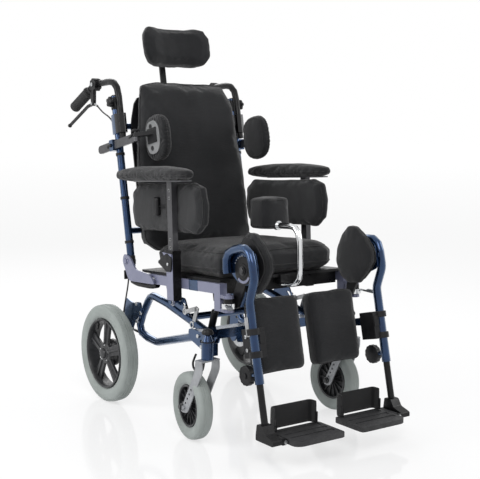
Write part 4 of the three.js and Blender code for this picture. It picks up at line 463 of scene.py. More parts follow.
def finished_tree(tree, copies, finish):
    """The copies made real in their finish, as what the tree gives."""
    real = node_of(tree, "GeometryNodeRealizeInstances", {"Geometry": copies.outputs["Instances"]})
    inputs = {"Geometry": real.outputs["Geometry"], "Material": finish}
    dressed = node_of(tree, "GeometryNodeSetMaterial", inputs)
    node_of(tree, "NodeGroupOutput", {"Geometry": dressed.outputs["Geometry"]})
    return tree


def ring_tree():
    """Copies of a unit round the Z axis, its X pointing out."""
    tree, given = new_tree("copies_in_a_ring", Count="Int", Radius="Float", Unit="Object", Finish="Material")
    circle = node_of(tree, "GeometryNodeMeshCircle", {"Vertices": given["Count"], "Radius": given["Radius"]})
    place = node_of(tree, "GeometryNodeInputPosition").outputs["Position"]
    turn = node_of(tree, "FunctionNodeAlignRotationToVector", {"Vector": place}, axis="X", pivot_axis="Z")
    unit = node_of(tree, "GeometryNodeObjectInfo", {"Object": given["Unit"]})
    inputs = {
        "Points": circle.outputs["Mesh"],
        "Instance": unit.outputs["Geometry"],
        "Rotation": turn.outputs["Rotation"],
    }
    return finished_tree(tree, node_of(tree, "GeometryNodeInstanceOnPoints", inputs), given["Finish"])


def grown(tree, host, settings):
    """The evaluated result of a tree on a host object, as a plain mesh; the host and its modifier go."""
    step = host.modifiers.new("grow", "NODES")
    step.node_group = tree
    for item in tree.interface.items_tree:
        if item.in_out == "INPUT" and item.name in settings:
            step[item.identifier] = settings[item.name]
    host.update_tag()
    bpy.context.view_layer.update()
    ready = host.evaluated_get(bpy.context.evaluated_depsgraph_get())
    mesh = bpy.data.meshes.new_from_object(ready)
    bpy.data.objects.remove(host)
    return mesh


def unit_of(parts):
    made = piece("unit", parts, zinc, None)
    made.data.materials.clear()
    made.hide_render = True
    return made


in_a_ring = ring_tree()


def ring_of(name, parts, count, radius, finish, place, body):
    """A piece of copies of a unit in a ring about the Z axis of a place."""
    unit = unit_of(parts)
    host = bpy.data.objects.new("host", bpy.data.meshes.new("host"))
    scene.collection.objects.link(host)
    mesh = grown(in_a_ring, host, {"Count": count, "Radius": radius, "Unit": unit, "Finish": finish})
    bpy.data.objects.remove(unit)
    mesh.transform(place)
    return placed(name, mesh, finish, body, 38)


def tyre_outline(radius, inside, width):
    """Half round the tread, square shoulders with a groove, and straight bead walls."""
    wall = ((0.0, 0.62), (0.12, 0.8), (0.3, 0.95), (0.5, 1.0), (0.66, 0.985), (0.7, 0.955), (0.74, 0.96))
    shoulder = ((0.84, 0.88), (0.92, 0.74), (0.965, 0.58), (0.985, 0.42), (0.985, 0.36), (0.965, 0.34), (0.965, 0.3))
    crown = ((0.992, 0.28), (0.997, 0.1), (0.975, 0.07))
    half, deep = width / 2, radius - inside
    outline = [(inside + deep * share, half * wide) for share, wide in wall + shoulder + crown]
    return outline + [(r, -w) for r, w in reversed(outline)]


def wheel_place(centre, axis, turn=0.0):
    facing = axis.to_track_quat("Z", "Y").to_matrix().to_4x4()
    return Matrix.Translation(centre) @ facing @ Matrix.Rotation(turn, 4, "Z")


def tread_block(x, y, z, slant=0.0, low=0.0):
    """A block that narrows as it stands out along X from low."""
    signs = [(a, b, c) for a in (0, 1) for b in (-1, 1) for c in (-1, 1)]
    taper = 0.25
    return [Vector((low + x * a, y * b / 2 * (1 - taper * a) + slant * c, z * c / 2)) for a, b, c in signs], block_faces


tyre_grey = hard_finish(
    "tyre_grey",
    "grey_tyre",
    (0.3, 0.33, 0.315),
    (0.38, 0.415, 0.4),
    0.62,
    grain=260,
    depth=0.35,
    drift=9,
    spread=0.08,
    specular=0.3,
)
rear_radius, rear_out, rear_up = 0.1552, 280, 156
for hand, side in hands:
    hub, axis, body = at_base(rear_out * side, 0, rear_up), OUT * side, f"rear_wheel_{hand}"
    outline = tyre_outline(rear_radius, 0.1113, 0.052)
    tyre = piece(f"rear_tyre_{hand}_moulded", [ring(outline, hub, axis, 128)], tyre_grey, body)
    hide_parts(f"rear_tyre_{hand}")
    rows = (
        (0.0135, 0.003, 0.0088, 0.1537),
        (-0.0135, -0.003, 0.0088, 0.1537),
        (0.0035, -0.002, 0.0048, rear_radius),
        (-0.0035, 0.002, 0.0048, rear_radius),
    )
    for row, (out, slant, wide, radius) in enumerate(rows):
        unit = tread_block(0.0022, 0.0062, wide, slant, -0.0018)
        place = wheel_place(hub + axis * out, axis, row * 0.036)
        ring_of(f"rear_tread_{hand}_{row + 1}", [unit], 88, radius, tyre_grey, place, body)


# The rims and hubs: each black moulding has five wide spokes with a centre rib and a rolled edge; its bearing
# cap and five zinc screws close the hub. Inside sits the zinc drum of the parking brake, held by the axle.
moulded = {"grain": 500, "depth": 0.12, "drift": 20}
rim_black = hard_finish("rim_moulding", "black_plastic", (0.014, 0.0145, 0.016), (0.034, 0.035, 0.038), 0.42, **moulded)
cast_grey = hard_finish(
    "cast_grey", "silver_steel", (0.13, 0.14, 0.155), (0.2, 0.21, 0.225), 0.5, metal=0.6, grain=420, depth=0.3, drift=30
)


def spoke(hub, axis, up):
    """One tapered spoke with a rib down its middle."""
    inner, reach, hub_wide, rim_wide, thick, rib = 0.026, 0.1045, 0.03, 0.043, 0.01, 0.55
    along = axis.cross(up)
    half = ((-1, -0.5), (-1, 0.35), (-0.82, 0.5), (-0.24, 0.42), (-0.15, 0.42 + rib))
    outline = half + tuple((-share, out) for share, out in reversed(half))
    rings = []
    for t in (0, 0.15, 0.4, 0.7, 0.9, 1.0):
        far = inner + (reach - inner) * t
        wide = (hub_wide + (rim_wide - hub_wide) * t * t) / 2
        dish = thick * (0.9 - 0.7 * t)
        rings.append([hub + up * far + along * wide * share + axis * (thick * out + dish) for share, out in outline])
    return joined_rings(rings)


rolled_edge = [
    (0.1110, -0.022), (0.1110, 0.022), (0.1085, 0.0235), (0.1055, 0.022),
    (0.1035, 0.017), (0.1025, 0.004), (0.1025, -0.004), (0.104, -0.02),
]
hub_barrel = [
    (0, -0.0205), (0.0425, -0.0205), (0.043, -0.0185), (0.043, -0.01), (0.04, -0.006), (0.034, 0.0),
    (0.0338, 0.0125), (0.031, 0.0155), (0.022, 0.0165), (0.021, 0.0195), (0, 0.0195),
]
for hand, side in hands:
    hub, axis, body = at_base(rear_out * side, 0, rear_up), OUT * side, f"rear_wheel_{hand}"
    shells = [ring(rolled_edge, hub, axis), turned(hub_barrel, hub, axis, 64)]
    for i in range(5):
        angle = math.pi / 2 + i * 2 * math.pi / 5
        shells.append(spoke(hub, axis, Vector((0, -math.cos(angle), math.sin(angle)))))
    rim = piece(f"rear_rim_{hand}_moulded", shells, rim_black, body, bevel=0.0008)
    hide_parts(f"rear_rim_{hand}")
    cap = [(0, 0.0185), (0.0165, 0.0185), (0.0165, 0.0225), (0.0145, 0.0262), (0.006, 0.029), (0, 0.029)]
    piece(f"hub_cap_{hand}", [turned(cap, hub, axis, 40)], rim_black, body)
    screw = turned([(0, 0), (0.0036, 0), (0.0036, 0.002), (0.0018, 0.003), (0, 0.003)], UP * 0.0155, UP, 12)
    ring_of(f"hub_screws_{hand}", [screw], 5, 0.0265, zinc, wheel_place(hub, axis, 0.3), body)
    stem = [hub + Vector((0, 0.058, 0.083)) + axis * 0.004, hub + Vector((0, 0.049, 0.07)) + axis * 0.012]
    piece(f"valve_{hand}", [tube(stem, 0.0032, 12)], black_moulding, body)
    behind = hub - axis * 0.0515
    parts = [
        turned([(0, 0), (0.0445, 0), (0.0445, -0.003), (0.041, -0.0055), (0, -0.0055)], hub - axis * 0.0446, axis),
        block(behind + Vector((0, 0.006, 0.03)), Vector((0, 0.25, 1)), axis, 0.052, 0.0035, 0.011),
        tube([behind + Vector((0, 0.012, 0.05)), behind + Vector((0, -0.012, 0.047))], 0.0042, 12),
    ]
    piece(f"drum_brake_{hand}", parts, zinc, "base", bevel=0.0005)

# Casters: 8 inch grey tyres on black disc wheels with fine ribs, in flat-bar steel forks sprayed silver,
# each with a row of axle holes and the wheel's bolt.
sprayed = {"metal": 0.45, "grain": 1200, "depth": 0.1, "drift": 25}
silver_spray = hard_finish("silver_spray", "silver_steel", (0.3, 0.31, 0.325), (0.39, 0.4, 0.415), 0.5, **sprayed)
caster_radius, caster_up = 0.0965, 0.097
swung = {"right": 7.5, "left": 2.4}  # degrees that each caster stands off straight ahead
caster_edge = [
    (0.06, -0.0165), (0.06, 0.0165), (0.0575, 0.0175), (0.0545, 0.016),
    (0.0535, 0.006), (0.0535, -0.006), (0.0545, -0.016),
]
half_disc = [(0, -0.028), (0.0135, -0.028), (0.015, -0.026), (0.0165, -0.006), (0.055, -0.004)]
caster_disc = half_disc + [(radius, -along) for radius, along in reversed(half_disc)]
for hand, side in hands:
    low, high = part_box(f"caster_tyre_{hand}")
    hub = (low + high) / 2
    hub.z = caster_up
    swing = math.radians(swung[hand])
    axis = Vector((side * math.cos(swing), math.sin(swing), 0))
    body = f"caster_wheel_{hand}"
    outline = tyre_outline(caster_radius, 0.0603, 0.044)
    tyre = piece(f"caster_tyre_{hand}_moulded", [ring(outline, hub, axis)], tyre_grey, body)
    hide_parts(f"caster_tyre_{hand}")
    shells = [
        ring(caster_edge, hub, axis, 80),
        turned(caster_disc, hub, axis, 64),
        ring(band(0.034, 0.0365, -0.007, 0.007), hub, axis, 64),
    ]
    rim = piece(f"caster_rim_{hand}_moulded", shells, rim_black, body)
    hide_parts(f"caster_rim_{hand}")
    rib = tread_block(0.041, 0.0022, 0.022)
    ring_of(f"caster_ribs_{hand}", [rib], 14, 0.0145, rim_black, wheel_place(hub, axis), body)
    dress(f"caster_fork_{hand}", silver_spray)
    heads = []
    for outward in (-axis, axis):
        heads.append(hexagon(hub + outward * 0.0379, outward, 0.0075, 0.005))
        heads.append(turned(slab(0.0105, 0, 0.0012), hub + outward * 0.0333, outward, 28))
    piece(f"caster_bolt_{hand}", heads, rim_black, f"caster_swivel_{hand}")

# The tilting seat frame: rails in the paler copy of the lacquer, a painted highlight, with navy clamp bands, zinc
# screws and a black plug behind, the pan on its cross straps, and the tilt gas spring between frame and pan, with its
# rod chromed.
plated = {"metal": 1.0, "grain": 600, "depth": 0.02, "drift": 8, "spread": 0.05}
chrome = hard_finish("chrome", "chrome", (0.62, 0.63, 0.64), (0.74, 0.75, 0.76), 0.12, **plated)
turned_steel = {"metal": 0.95, "depth": 0.08, "drift": 40}
bare_steel = hard_finish("bare_steel", "silver_steel", (0.33, 0.335, 0.34), (0.47, 0.475, 0.48), 0.34, **turned_steel)
dress("seat_pan", black_coat)
dress("tilt_spring_cylinder", black_coat)
dress("tilt_spring_rod", chrome)
rail_out, rail_up = 225, 63.5
for hand, side in hands:
    outward = OUT * side
    # The rails take the paler copy of the lacquer: a painted highlight on faces that catch the light.
    dress(f"seat_rail_{hand}", lit_face_coat)
    bands = [
        block(at_rail(rail_out * side, ahead, rail_up), seat_ahead, seat_up, wide, 0.0305, 0.0235)
        for ahead, wide in ((150, 0.046), (30, 0.03))
    ]
    piece(f"rail_bands_{hand}", bands, navy, "seat", bevel=0.0012)
    screws = []
    for ahead in (-70, -206):
        centre = at_rail(236.6 * side, ahead, rail_up)
        screws += [hexagon(centre, outward, 0.0058, 0.004), turned(slab(0.0078, -0.001, 0.0008), centre, outward, 24)]
    piece(f"rail_screws_{hand}", screws, zinc, "seat")
    plug = block(at_rail(rail_out * side, -252.5, rail_up), seat_ahead, seat_up, 0.004, 0.0285, 0.0215)
    piece(f"rail_plugs_{hand}", [plug], black_moulding, "seat", bevel=0.001)
    # The tilt pivot: a wide zinc bolt through the ears
    ear = at_rail(202 * side, 0, 0)
    bolt = [
        hexagon(ear + outward * 0.012, outward, 0.0105, 0.007),
        turned(slab(0.014, 0, 0.0022), ear + outward * 0.0105, outward, 32),
    ]
    piece(f"tilt_pivot_{hand}", bolt, zinc, "seat")

# The tilt mechanism in the side: a black curved stay welded under the seat rail, silver levers and their eyes
# bolted to the base, the small black rod of the brake and the tie-down rings that loop from each side.
for hand, side in hands:
    loop = (
        (243, 452, 236), (249, 446, 212), (252, 455, 196), (252, 478, 190),
        (252, 497, 198), (249, 501, 216), (243, 494, 238),
    )
    line = smooth_route([at_base(out * side, ahead, up) for out, ahead, up in loop], 6)
    piece(f"tie_down_ring_{hand}", [tube(line, 0.0032, 12)], black_coat, "base")
    arc = ((62, 393), (94, 388.5), (176, 391.5), (214, 400))
    stay = bent_route([at_base(227 * side, ahead, up) for ahead, up in arc], 0.03, 8)
    piece(f"tilt_stay_{hand}", [tube(stay, 0.0085)], black_coat, "seat")
    rod = [at_base(201 * side, 30, 226), at_base(201 * side, 96, 222)]
    piece(f"brake_rod_{hand}", [tube(rod, 0.0042, 14)], black_coat, "base")
    levers = [
        block(at_base(203 * side, 386, 330), Vector((0, -0.35, 0.93)), OUT, 0.06, 0.004, 0.016),
        block(at_base(207 * side, 362, 344), Vector((0, -0.95, 0.3)), OUT, 0.058, 0.004, 0.013),
    ]
    piece(f"tilt_lever_{hand}", levers, bare_steel, "base", bevel=0.0008)
    eye = band(0.0062, 0.0105, -0.0045, 0.0045)
    eyes = [ring(eye, at_base(205 * side, ahead, up), OUT, 28) for ahead, up in ((376, 304), (338, 338))]
    piece(f"tilt_lever_eyes_{hand}", eyes, zinc, "base")

# The seat and back cushions: cut foam under charcoal knitted cloth, each swollen by a cloth simulation with
# pressure inside and no gravity, then piped along its seams; they are held to pan and shell by hook tape.
def knit(name, low, high, scale=1.0):
    """Charcoal upholstery: crossed yarns under a soft nap, with a broad drift of tone."""

    def nap(tree):
        return noise_on(tree, 420 * scale, 5)

    def weave(tree):
        where = node_of(tree, "ShaderNodeTexCoord").outputs["Object"]
        inputs = {"Scale": 190 * scale, "Distortion": 0.6, "Detail": 1.0, "Vector": where}
        x, y, z = (node_of(tree, "ShaderNodeTexWave", inputs, bands_direction=axis).outputs["Fac"] for axis in "XYZ")
        yarns = math_of(tree, "ADD", math_of(tree, "MULTIPLY", x, z), y)
        return bump_of(tree, math_of(tree, "ADD", yarns, nap(tree)), 0.45, 0.0007)

    def tone(tree):
        drift = ramp_of(tree, noise_on(tree, 9, 5), low, high, 0.3, 0.72)
        speck = ramp_of(tree, nap(tree), 0.72, 1.2, 0.3, 0.7)
        inputs = {"Factor": 1.0, "A": drift, "B": speck}
        return node_of(tree, "ShaderNodeMix", inputs, data_type="RGBA", blend_type="MULTIPLY").outputs["Result"]

    matt = {"Roughness": 0.88, "Specular_IOR_Level": 0.22, "Sheen_Weight": 0.32, "Sheen_Roughness": 0.45}
    return new_finish(name, "black_cloth", tone, Normal=weave, **matt)


charcoal = knit("charcoal_knit", (0.0125, 0.013, 0.0145), (0.022, 0.0225, 0.0245))
piping_cloth = knit("piping_cloth", (0.008, 0.008, 0.009), (0.014, 0.014, 0.015), 1.6)


def relaxed(mesh, times):
    net = bmesh.new()
    net.from_mesh(mesh)
    for _ in range(times):
        bmesh.ops.smooth_vert(net, verts=net.verts, factor=0.5, use_axis_x=True, use_axis_y=True, use_axis_z=True)
    net.to_mesh(mesh)
    net.free()


def even_net(made, voxel, easing):
    """The object's shells joined into one even net and eased."""
    step = made.modifiers.new("net", "REMESH")
    step.mode = "VOXEL"
    step.voxel_size = voxel
    even = bpy.data.meshes.new_from_object(made.evaluated_get(bpy.context.evaluated_depsgraph_get()))
    made.modifiers.clear()
    made.data = even
    relaxed(even, easing)
    return made


def pushed(mesh, depth, share_at):
    """Every point moved along its normal by a share of the depth that its place gives."""
    for point, normal in [(v, v.normal.copy()) for v in mesh.vertices]:
        point.co += normal * share_at(point.co) * depth


def net_of(node, voxel, inset):
    """A copy of a pad's solid as an even net, moved in a little along its normals."""
    mesh = nodes_at[node].data.copy()
    net = bmesh.new()
    net.from_mesh(mesh)
    bmesh.ops.remove_doubles(net, verts=net.verts, dist=0.00005)
    bmesh.ops.recalc_face_normals(net, faces=net.faces)
    net.to_mesh(mesh)
    net.free()
    made = bpy.data.objects.new(f"{node}_stuffed", mesh)
    scene.collection.objects.link(made)
    even_net(made, voxel, 3)
    pushed(made.data, -inset, lambda place: 1.0)
    return made


def swollen(made, cap):
    """Cloth with pressure inside and no gravity, for 20 frames; no point moves further than the cap."""
    start = [v.co.copy() for v in made.data.vertices]
    cloth = made.modifiers.new("cloth", "CLOTH")
    cloth.settings.use_pressure = True
    cloth.settings.uniform_pressure_force = 4.0
    cloth.settings.effector_weights.gravity = 0
    cloth.settings.quality = 5
    for number in range(1, 21):
        scene.frame_set(number)
    ready = made.evaluated_get(bpy.context.evaluated_depsgraph_get())
    moved = bpy.data.meshes.new_from_object(ready)
    made.modifiers.clear()
    scene.frame_set(1)
    for old, new in zip(start, moved.vertices):
        step = new.co - old
        if step.length > cap:
            new.co = old + step * (cap / step.length)
    made.data = moved
    relaxed(moved, 1)


def filled_out(made, node, axes):
    """The pad brought back to its solid's full size, which the net and the rounding took a little off."""
    low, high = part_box(node)
    for i in ("xyz".index(axis) for axis in axes):
        start, end = (pick(p.co[i] for p in made.data.vertices) for pick in (min, max))
        for point in made.data.vertices:
            point.co[i] = low[i] + (point.co[i] - start) * (high[i] - low[i]) / (end - start)


def stuffed(made, node, size, depth, seed, cap, axes="xyz"):
    """A net with the slow unevenness of stuffed cloth, swollen and brought back to size."""
    drift = Vector((seed, seed * 2.3, -seed))
    pushed(made.data, depth, lambda place: noise.fractal(place / size + drift, 0.8, 2.1, 3))
    swollen(made, cap)
    filled_out(made, node, axes)
    return made


def finish_pad(made, node, body):
    made.data.materials.clear()
    made.data.materials.append(charcoal)
    for face in made.data.polygons:
        face.material_index = 0
        face.use_smooth = True
    rounder = made.modifiers.new("round", "SUBSURF")
    rounder.levels = rounder.render_levels = 1
    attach(made, body)
    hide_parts(node)


def hits_round(pad, centre, along, across):
    """Where a pad's skin is met from outside, all round a plane through its middle."""
    steps, reach = 360, 0.6
    skin = pad.data
    tree = BVHTree.FromPolygons([v.co.copy() for v in skin.vertices], [tuple(f.vertices) for f in skin.polygons])
    line = []
    for angle in (2 * math.pi * k / steps for k in range(steps)):
        way = along * math.cos(angle) + across * math.sin(angle)
        place = tree.ray_cast(centre + way * reach, -way)[0]
        if place is not None:
            line.append(place)
    return line


def looped_tube(line, normal, radius):
    sides = 8
    rings = []
    for i, point in enumerate(line):
        ahead = (line[(i + 1) % len(line)] - line[i - 1]).normalized()
        out = ahead.cross(normal).normalized()
        turns = (2 * math.pi * k / sides for k in range(sides))
        rings.append([point + (out * math.cos(a) + normal * math.sin(a)) * radius for a in turns])
    return joined_rings(rings, True)


def even_line(line, count):
    """A closed line divided evenly."""
    line = line + [line[0]]
    marks = [0.0]
    for a, b in zip(line, line[1:]):
        marks.append(marks[-1] + (b - a).length)
    spread, i = [], 0
    for want in (marks[-1] * k / count for k in range(count)):
        while marks[i + 1] < want:
            i += 1
        share = (want - marks[i]) / max(marks[i + 1] - marks[i], 1e-9)
        spread.append(line[i].lerp(line[i + 1], share))
    return spread


def piping(name, pad, centre, along, across, body, levels, radius, steps=220):
    """Cords sewn round a pad at these heights over a plane through its middle."""
    normal = along.cross(across).normalized()
    loops = []
    for level in levels:
        line = even_line(hits_round(pad, centre + normal * level, along, across), steps)
        for _ in range(2):
            line = [(line[i - 1] + line[i] * 2 + line[(i + 1) % len(line)]) / 4 for i in range(len(line))]
        loops.append(looped_tube(line, normal, radius))
    piece(name, loops, piping_cloth, body, sharp=80)


def middle_of(node):
    low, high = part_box(node)
    return (low + high) / 2


seat_pad = stuffed(net_of("seat_cushion", 0.006, 0.004), "seat_cushion", 0.09, 0.0012, 1.0, 0.012)
finish_pad(seat_pad, "seat_cushion", "seat")
piping("seat_cushion_piping", seat_pad, middle_of("seat_cushion"), OUT, seat_ahead, "seat", (0.019, -0.026), 0.0022)

back_pad = stuffed(net_of("back_cushion", 0.006, 0.004), "back_cushion", 0.11, 0.0014, 4.0, 0.012)
finish_pad(back_pad, "back_cushion", "back")
piping("back_cushion_piping", back_pad, at_cane(0, 55, 285), OUT, back_up, "back", (0.0,), 0.0022, 280)
dress("back_shell", black_coat)

# The headrest: a stuffed pad bent forward at its wings, on a black steel post with a tilt joint, held in a
# moulded socket on the back by a round clamp screw.
headrest = stuffed(net_of("headrest_pad", 0.0045, 0.0025), "headrest_pad", 0.05, 0.0009, 7.0, 0.007, "xz")
finish_pad(headrest, "headrest_pad", "headrest_pad")
dress("headrest_post", black_coat)
joint = turned(slab(0.0095, -0.017, 0.017), at_cane(0, -62, 690), OUT, 28)
piece("headrest_joint", [joint], black_moulding, "headrest_post", bevel=0.001)
screw = [(0, 0), (0.011, 0), (0.0125, 0.003), (0.0125, 0.012), (0.011, 0.0145), (0, 0.0145)]
socket = [
    block(at_cane(0, -64, 440), back_up, OUT, 0.03, 0.032, 0.022),
    turned(screw, at_cane(11, -64, 440), OUT, 20),
]
piece("headrest_socket", socket, black_moulding, "back", bevel=0.0012)

# Armrest pads: a leaf-shaped pad with its cover gathered under the edge and piped above, screwed to its post;
# the left one is stuffed by simulation and the right one is its mirror image.
def twin(made, name):
    """The same piece mirrored to the other side, still facing out."""
    mesh = made.data.copy()
    for point in mesh.vertices:
        point.co.x = 2 * middle_x - point.co.x
    mesh.flip_normals()
    other = bpy.data.objects.new(name, mesh)
    scene.collection.objects.link(other)
    return other


def gathered(mesh, middle, axis, count, depth, ease, low, high):
    """Small pleats round an edge, deepest between two heights along the axis."""
    side = axis.orthogonal().normalized()
    other = axis.cross(side)

    def pleat(place):
        away = place - middle
        height = away.dot(axis)
        if not low < height < high:
            return 0.0
        share = min((height - low) / ease, (high - height) / ease, 1.0)
        angle = math.atan2(away.dot(other), away.dot(side))
        wander = 0.5 * noise.noise(place * 60)
        return share * math.sin(angle * count + wander * 4)

    pushed(mesh, depth, pleat)


def pair_of(pad, name):
    """Both sides' pads of a left one, the left one first, as (hand, side, pad)."""
    return ("left", 1, pad), ("right", -1, twin(pad, f"{name}_right_stuffed"))


arm_pad = stuffed(net_of("arm_pad_left", 0.004, 0.0015), "arm_pad_left", 0.06, 0.0007, 2.0, 0.005)
arm_middle = middle_of("arm_pad_left")
gathered(arm_pad.data, arm_middle, seat_up, 86, 0.0012, 0.006, -0.024, 0.004)
for hand, side, pad in pair_of(arm_pad, "arm_pad"):
    finish_pad(pad, f"arm_pad_{hand}", f"arm_{hand}")
    middle = Vector((middle_x + (arm_middle.x - middle_x) * side, *arm_middle.yz))
    piping(f"arm_pad_piping_{hand}", pad, middle, OUT, seat_ahead, f"arm_{hand}", (0.0045,), 0.0013, 180)

# Armrest posts: dark grey square tube with rimmed height holes, in a black rectangular receiver on the rail,
# open at the top, with a thin pale sheet on its outer face as a painted highlight, and a triangular moulded release
# lever on a zinc screw.
post_out, post_ahead = 250, 70
for hand, side in hands:
    outward, body = OUT * side, f"arm_{hand}"
    dress(f"arm_post_{hand}", post_grey)
    holes, rims = [], []
    for up in (96, 120, 144, 168, 192, 312, 334):
        centre = at_rail((post_out + 9.2) * side, post_ahead, up)
        holes.append(turned(slab(0.0034, -0.0002, 0.0003), centre, outward, 20))
        rims.append(ring(band(0.0034, 0.0046, -0.0003, 0.0007), centre, outward, 20))
    piece(f"arm_post_holes_{hand}", holes, black_moulding, body)
    piece(f"arm_post_rims_{hand}", rims, bare_steel, body)
    receiver = []
    for low_up, high_up, wide, deep in ((13.8, 159.2, 13.95, 17.95), (150, 159.6, 15.0, 19.0)):
        turns = ((13.3, 17.3, low_up), (wide, deep, low_up), (wide, deep, high_up), (13.3, 17.3, high_up))
        corners = ((-1, -1), (1, -1), (1, 1), (-1, 1))
        walls = [[at_rail((post_out + a * w) * side, post_ahead + b * d, up) for a, b in corners] for w, d, up in turns]
        receiver.append(joined_rings(walls, True))
    piece(f"arm_receiver_{hand}", receiver, black_coat, "seat", bevel=0.0014)
    # A thin pale sheet on the receiver's outer face: a painted highlight for the side that catches the light.
    face = block(at_rail(264.3 * side, post_ahead, 84), seat_up, OUT, 0.138, 0.0011, 0.0345)
    piece(f"arm_receiver_face_{hand}", [face], lit_face_coat, "seat")
    triangle = ((14, 122), (16, 128), (58, 151), (66, 151), (85, 141), (88, 134), (84, 106), (79, 99), (60, 98))
    faces = [[at_rail(post_out * side, *way) + outward * out for way in triangle] for out in (0.0152, 0.0195)]
    piece(f"arm_lever_{hand}", [joined_rings(faces)], black_moulding, "seat", bevel=0.001)
    screw = hexagon(at_rail(post_out * side, post_ahead, 121) + outward * 0.0195, outward, 0.0052, 0.003)
    piece(f"arm_lever_screw_{hand}", [screw], zinc, "seat")

# Side panels: stuffed boards inside the arm posts, each on a clamp with a hand knob; the near one carries a
# bare grey plate, as the photograph shows, with nothing printed on it.
satin = {"metal": 0.2, "grain": 1600}
plate_grey = hard_finish("bare_plate", "silver_steel", (0.2, 0.205, 0.21), (0.27, 0.275, 0.28), 0.42, **satin)
panel = stuffed(net_of("side_panel_left", 0.0045, 0.002), "side_panel_left", 0.08, 0.001, 3.0, 0.006, "yz")
for hand, side, pad in pair_of(panel, "side_panel"):
    body = f"arm_{hand}"
    finish_pad(pad, f"side_panel_{hand}", body)
    middle = at_rail(220 * side, 4, 282)
    piping(f"side_panel_piping_{hand}", pad, middle, seat_ahead, seat_up, body, (-0.009, 0.009), 0.0015)
    clamp = [
        block(at_rail(240.5 * side, 39, 289), seat_up, OUT, 0.054, 0.01, 0.028),
        turned(slab(0.0028, 0, 0.05), at_rail(242.5 * side, 30, 286), -seat_ahead, 16),
    ]
    piece(f"panel_clamp_{hand}", clamp, black_coat, body, bevel=0.0012)
    knob = block(at_rail(245 * side, -24, 286), seat_up, OUT, 0.056, 0.016, 0.024)
    piece(f"panel_knob_{hand}", [knob], black_moulding, body, bevel=0.0055)
strip = block(at_rail(-235.6, 124, 287), seat_up, OUT, 0.06, 0.0024, 0.052)
piece("bare_plate_right", [strip], plate_grey, "arm_right", bevel=0.0009)

# The pommel: a stuffed block with rounded corners and two rows of piping, on the chrome bar that loops over
# the cushion's front into a black socket under the seat.
pommel = stuffed(net_of("pommel_pad", 0.0045, 0.0022), "pommel_pad", 0.05, 0.0008, 5.0, 0.006, "")
finish_pad(pommel, "pommel_pad", "pommel")
piping("pommel_piping", pommel, at_rail(0, 207, 262), OUT, seat_ahead, "pommel", (0.035, -0.037), 0.0014, 160)
dress("pommel_bar", chrome)
collar = turned(slab(0.0135, 0, 0.012), at_rail(0, 251.2, 226), -seat_ahead, 32)
piece("pommel_collar", [collar], chrome, "pommel")
socket = block(at_rail(0, 262, 71.5), seat_ahead, seat_up, 0.03, 0.028, 0.034)
piece("pommel_socket", [socket], black_coat, "seat", bevel=0.0014)


# Lateral supports: an oval stuffed pad with its cover gathered into ribs round the rim, screwed to a grey
# plate on a black link that swings on the arm, which slides in the bracket behind the cane.
def round_outline(half_long, half_high, power, steps=48):
    line = []
    for angle in (2 * math.pi * k / steps for k in range(steps)):
        c, s = math.cos(angle), math.sin(angle)
        long, high = (math.copysign(abs(part) ** (2 / power), part) for part in (c, s))
        line.append((half_long * long, half_high * high))
    return line


def pillow(outline, place, levels):
    """A closed shell of one outline drawn in at each level; place turns (u, v, w) into a point."""
    return joined_rings([[place(u * share, v * share, w) for u, v in outline] for share, w in levels])


def soft_shape(name, parts, voxel, easing=3):
    """An even net over code-made shells."""
    return even_net(piece(name, parts, charcoal, None), voxel, easing)


levels = [(0.8, 203), (0.95, 200), (1.0, 193), (1.0, 183), (0.95, 176), (0.8, 172.6), (0.45, 170.6)]
shell = pillow(round_outline(59, 69, 2.7), lambda u, v, w: at_cane(w, 172 + u, 362 + v), levels)
lateral = soft_shape("lateral_pad_left_stuffed", [shell], 0.004)
stuffed(lateral, "lateral_pad_left", 0.05, 0.0007, 6.0, 0.005, "yz")
gathered(lateral.data, at_cane(188, 172, 362), OUT, 62, 0.0017, 0.004, -0.012, 0.0185)
for hand, side, pad in pair_of(lateral, "lateral_pad"):
    outward, body = OUT * side, f"lateral_pad_{hand}"
    finish_pad(pad, body, body)
    rows = (-0.0025 * side, 0.013 * side)
    piping(f"lateral_piping_{hand}", pad, at_cane(188 * side, 172, 362), back_ahead, back_up, body, rows, 0.0014, 200)
    oval = round_outline(38, 51, 2.6, 40)
    plate = joined_rings([[at_cane(out * side, 172 + u, 362 + v) for u, v in oval] for out in (203.6, 207.6)])
    piece(f"lateral_plate_{hand}", [plate], plate_grey, body, bevel=0.0008)
    bent_arm = ((243, 133), (252.6, 147), (210, 186), (206.4, 184), (206.4, 158), (210, 155))
    link = [
        block(at_cane(209.4 * side, 172, 368), back_up, OUT, 0.046, 0.0036, 0.05),
        joined_rings([[at_cane(out * side, ahead, up) for out, ahead in bent_arm] for up in (369.6, 382)]),
        ring(band(0.0044, 0.009, 0, 0.0124), at_cane(247 * side, 140, 369.6), back_up, 32),
    ]
    piece(f"lateral_link_{hand}", link, black_moulding, body, bevel=0.0008)
    marks = []
    for up in (330, 397):
        centre = at_cane(207.4 * side, 166, up)
        marks.append(ring(band(0.0036, 0.0074, 0, 0.0012), centre, outward, 24))
        marks.append(turned(slab(0.0036, 0, 0.0006), centre, outward, 24))
    piece(f"lateral_plate_screws_{hand}", marks, black_moulding, body)
    dress(f"lateral_arm_{hand}", post_grey)
    cap = [(0, 0), (0.0115, 0), (0.0125, 0.0025), (0.0115, 0.0055), (0, 0.0065)]
    release = [
        turned(cap, at_cane(247 * side, 140, 386.4), back_up, 28),
        block(at_cane(252 * side, 122, 376), Vector((0.12 * side, -0.9, 0.4)), back_up, 0.03, 0.005, 0.009),
    ]
    piece(f"lateral_release_{hand}", release, black_moulding, f"lateral_arm_{hand}", bevel=0.001)

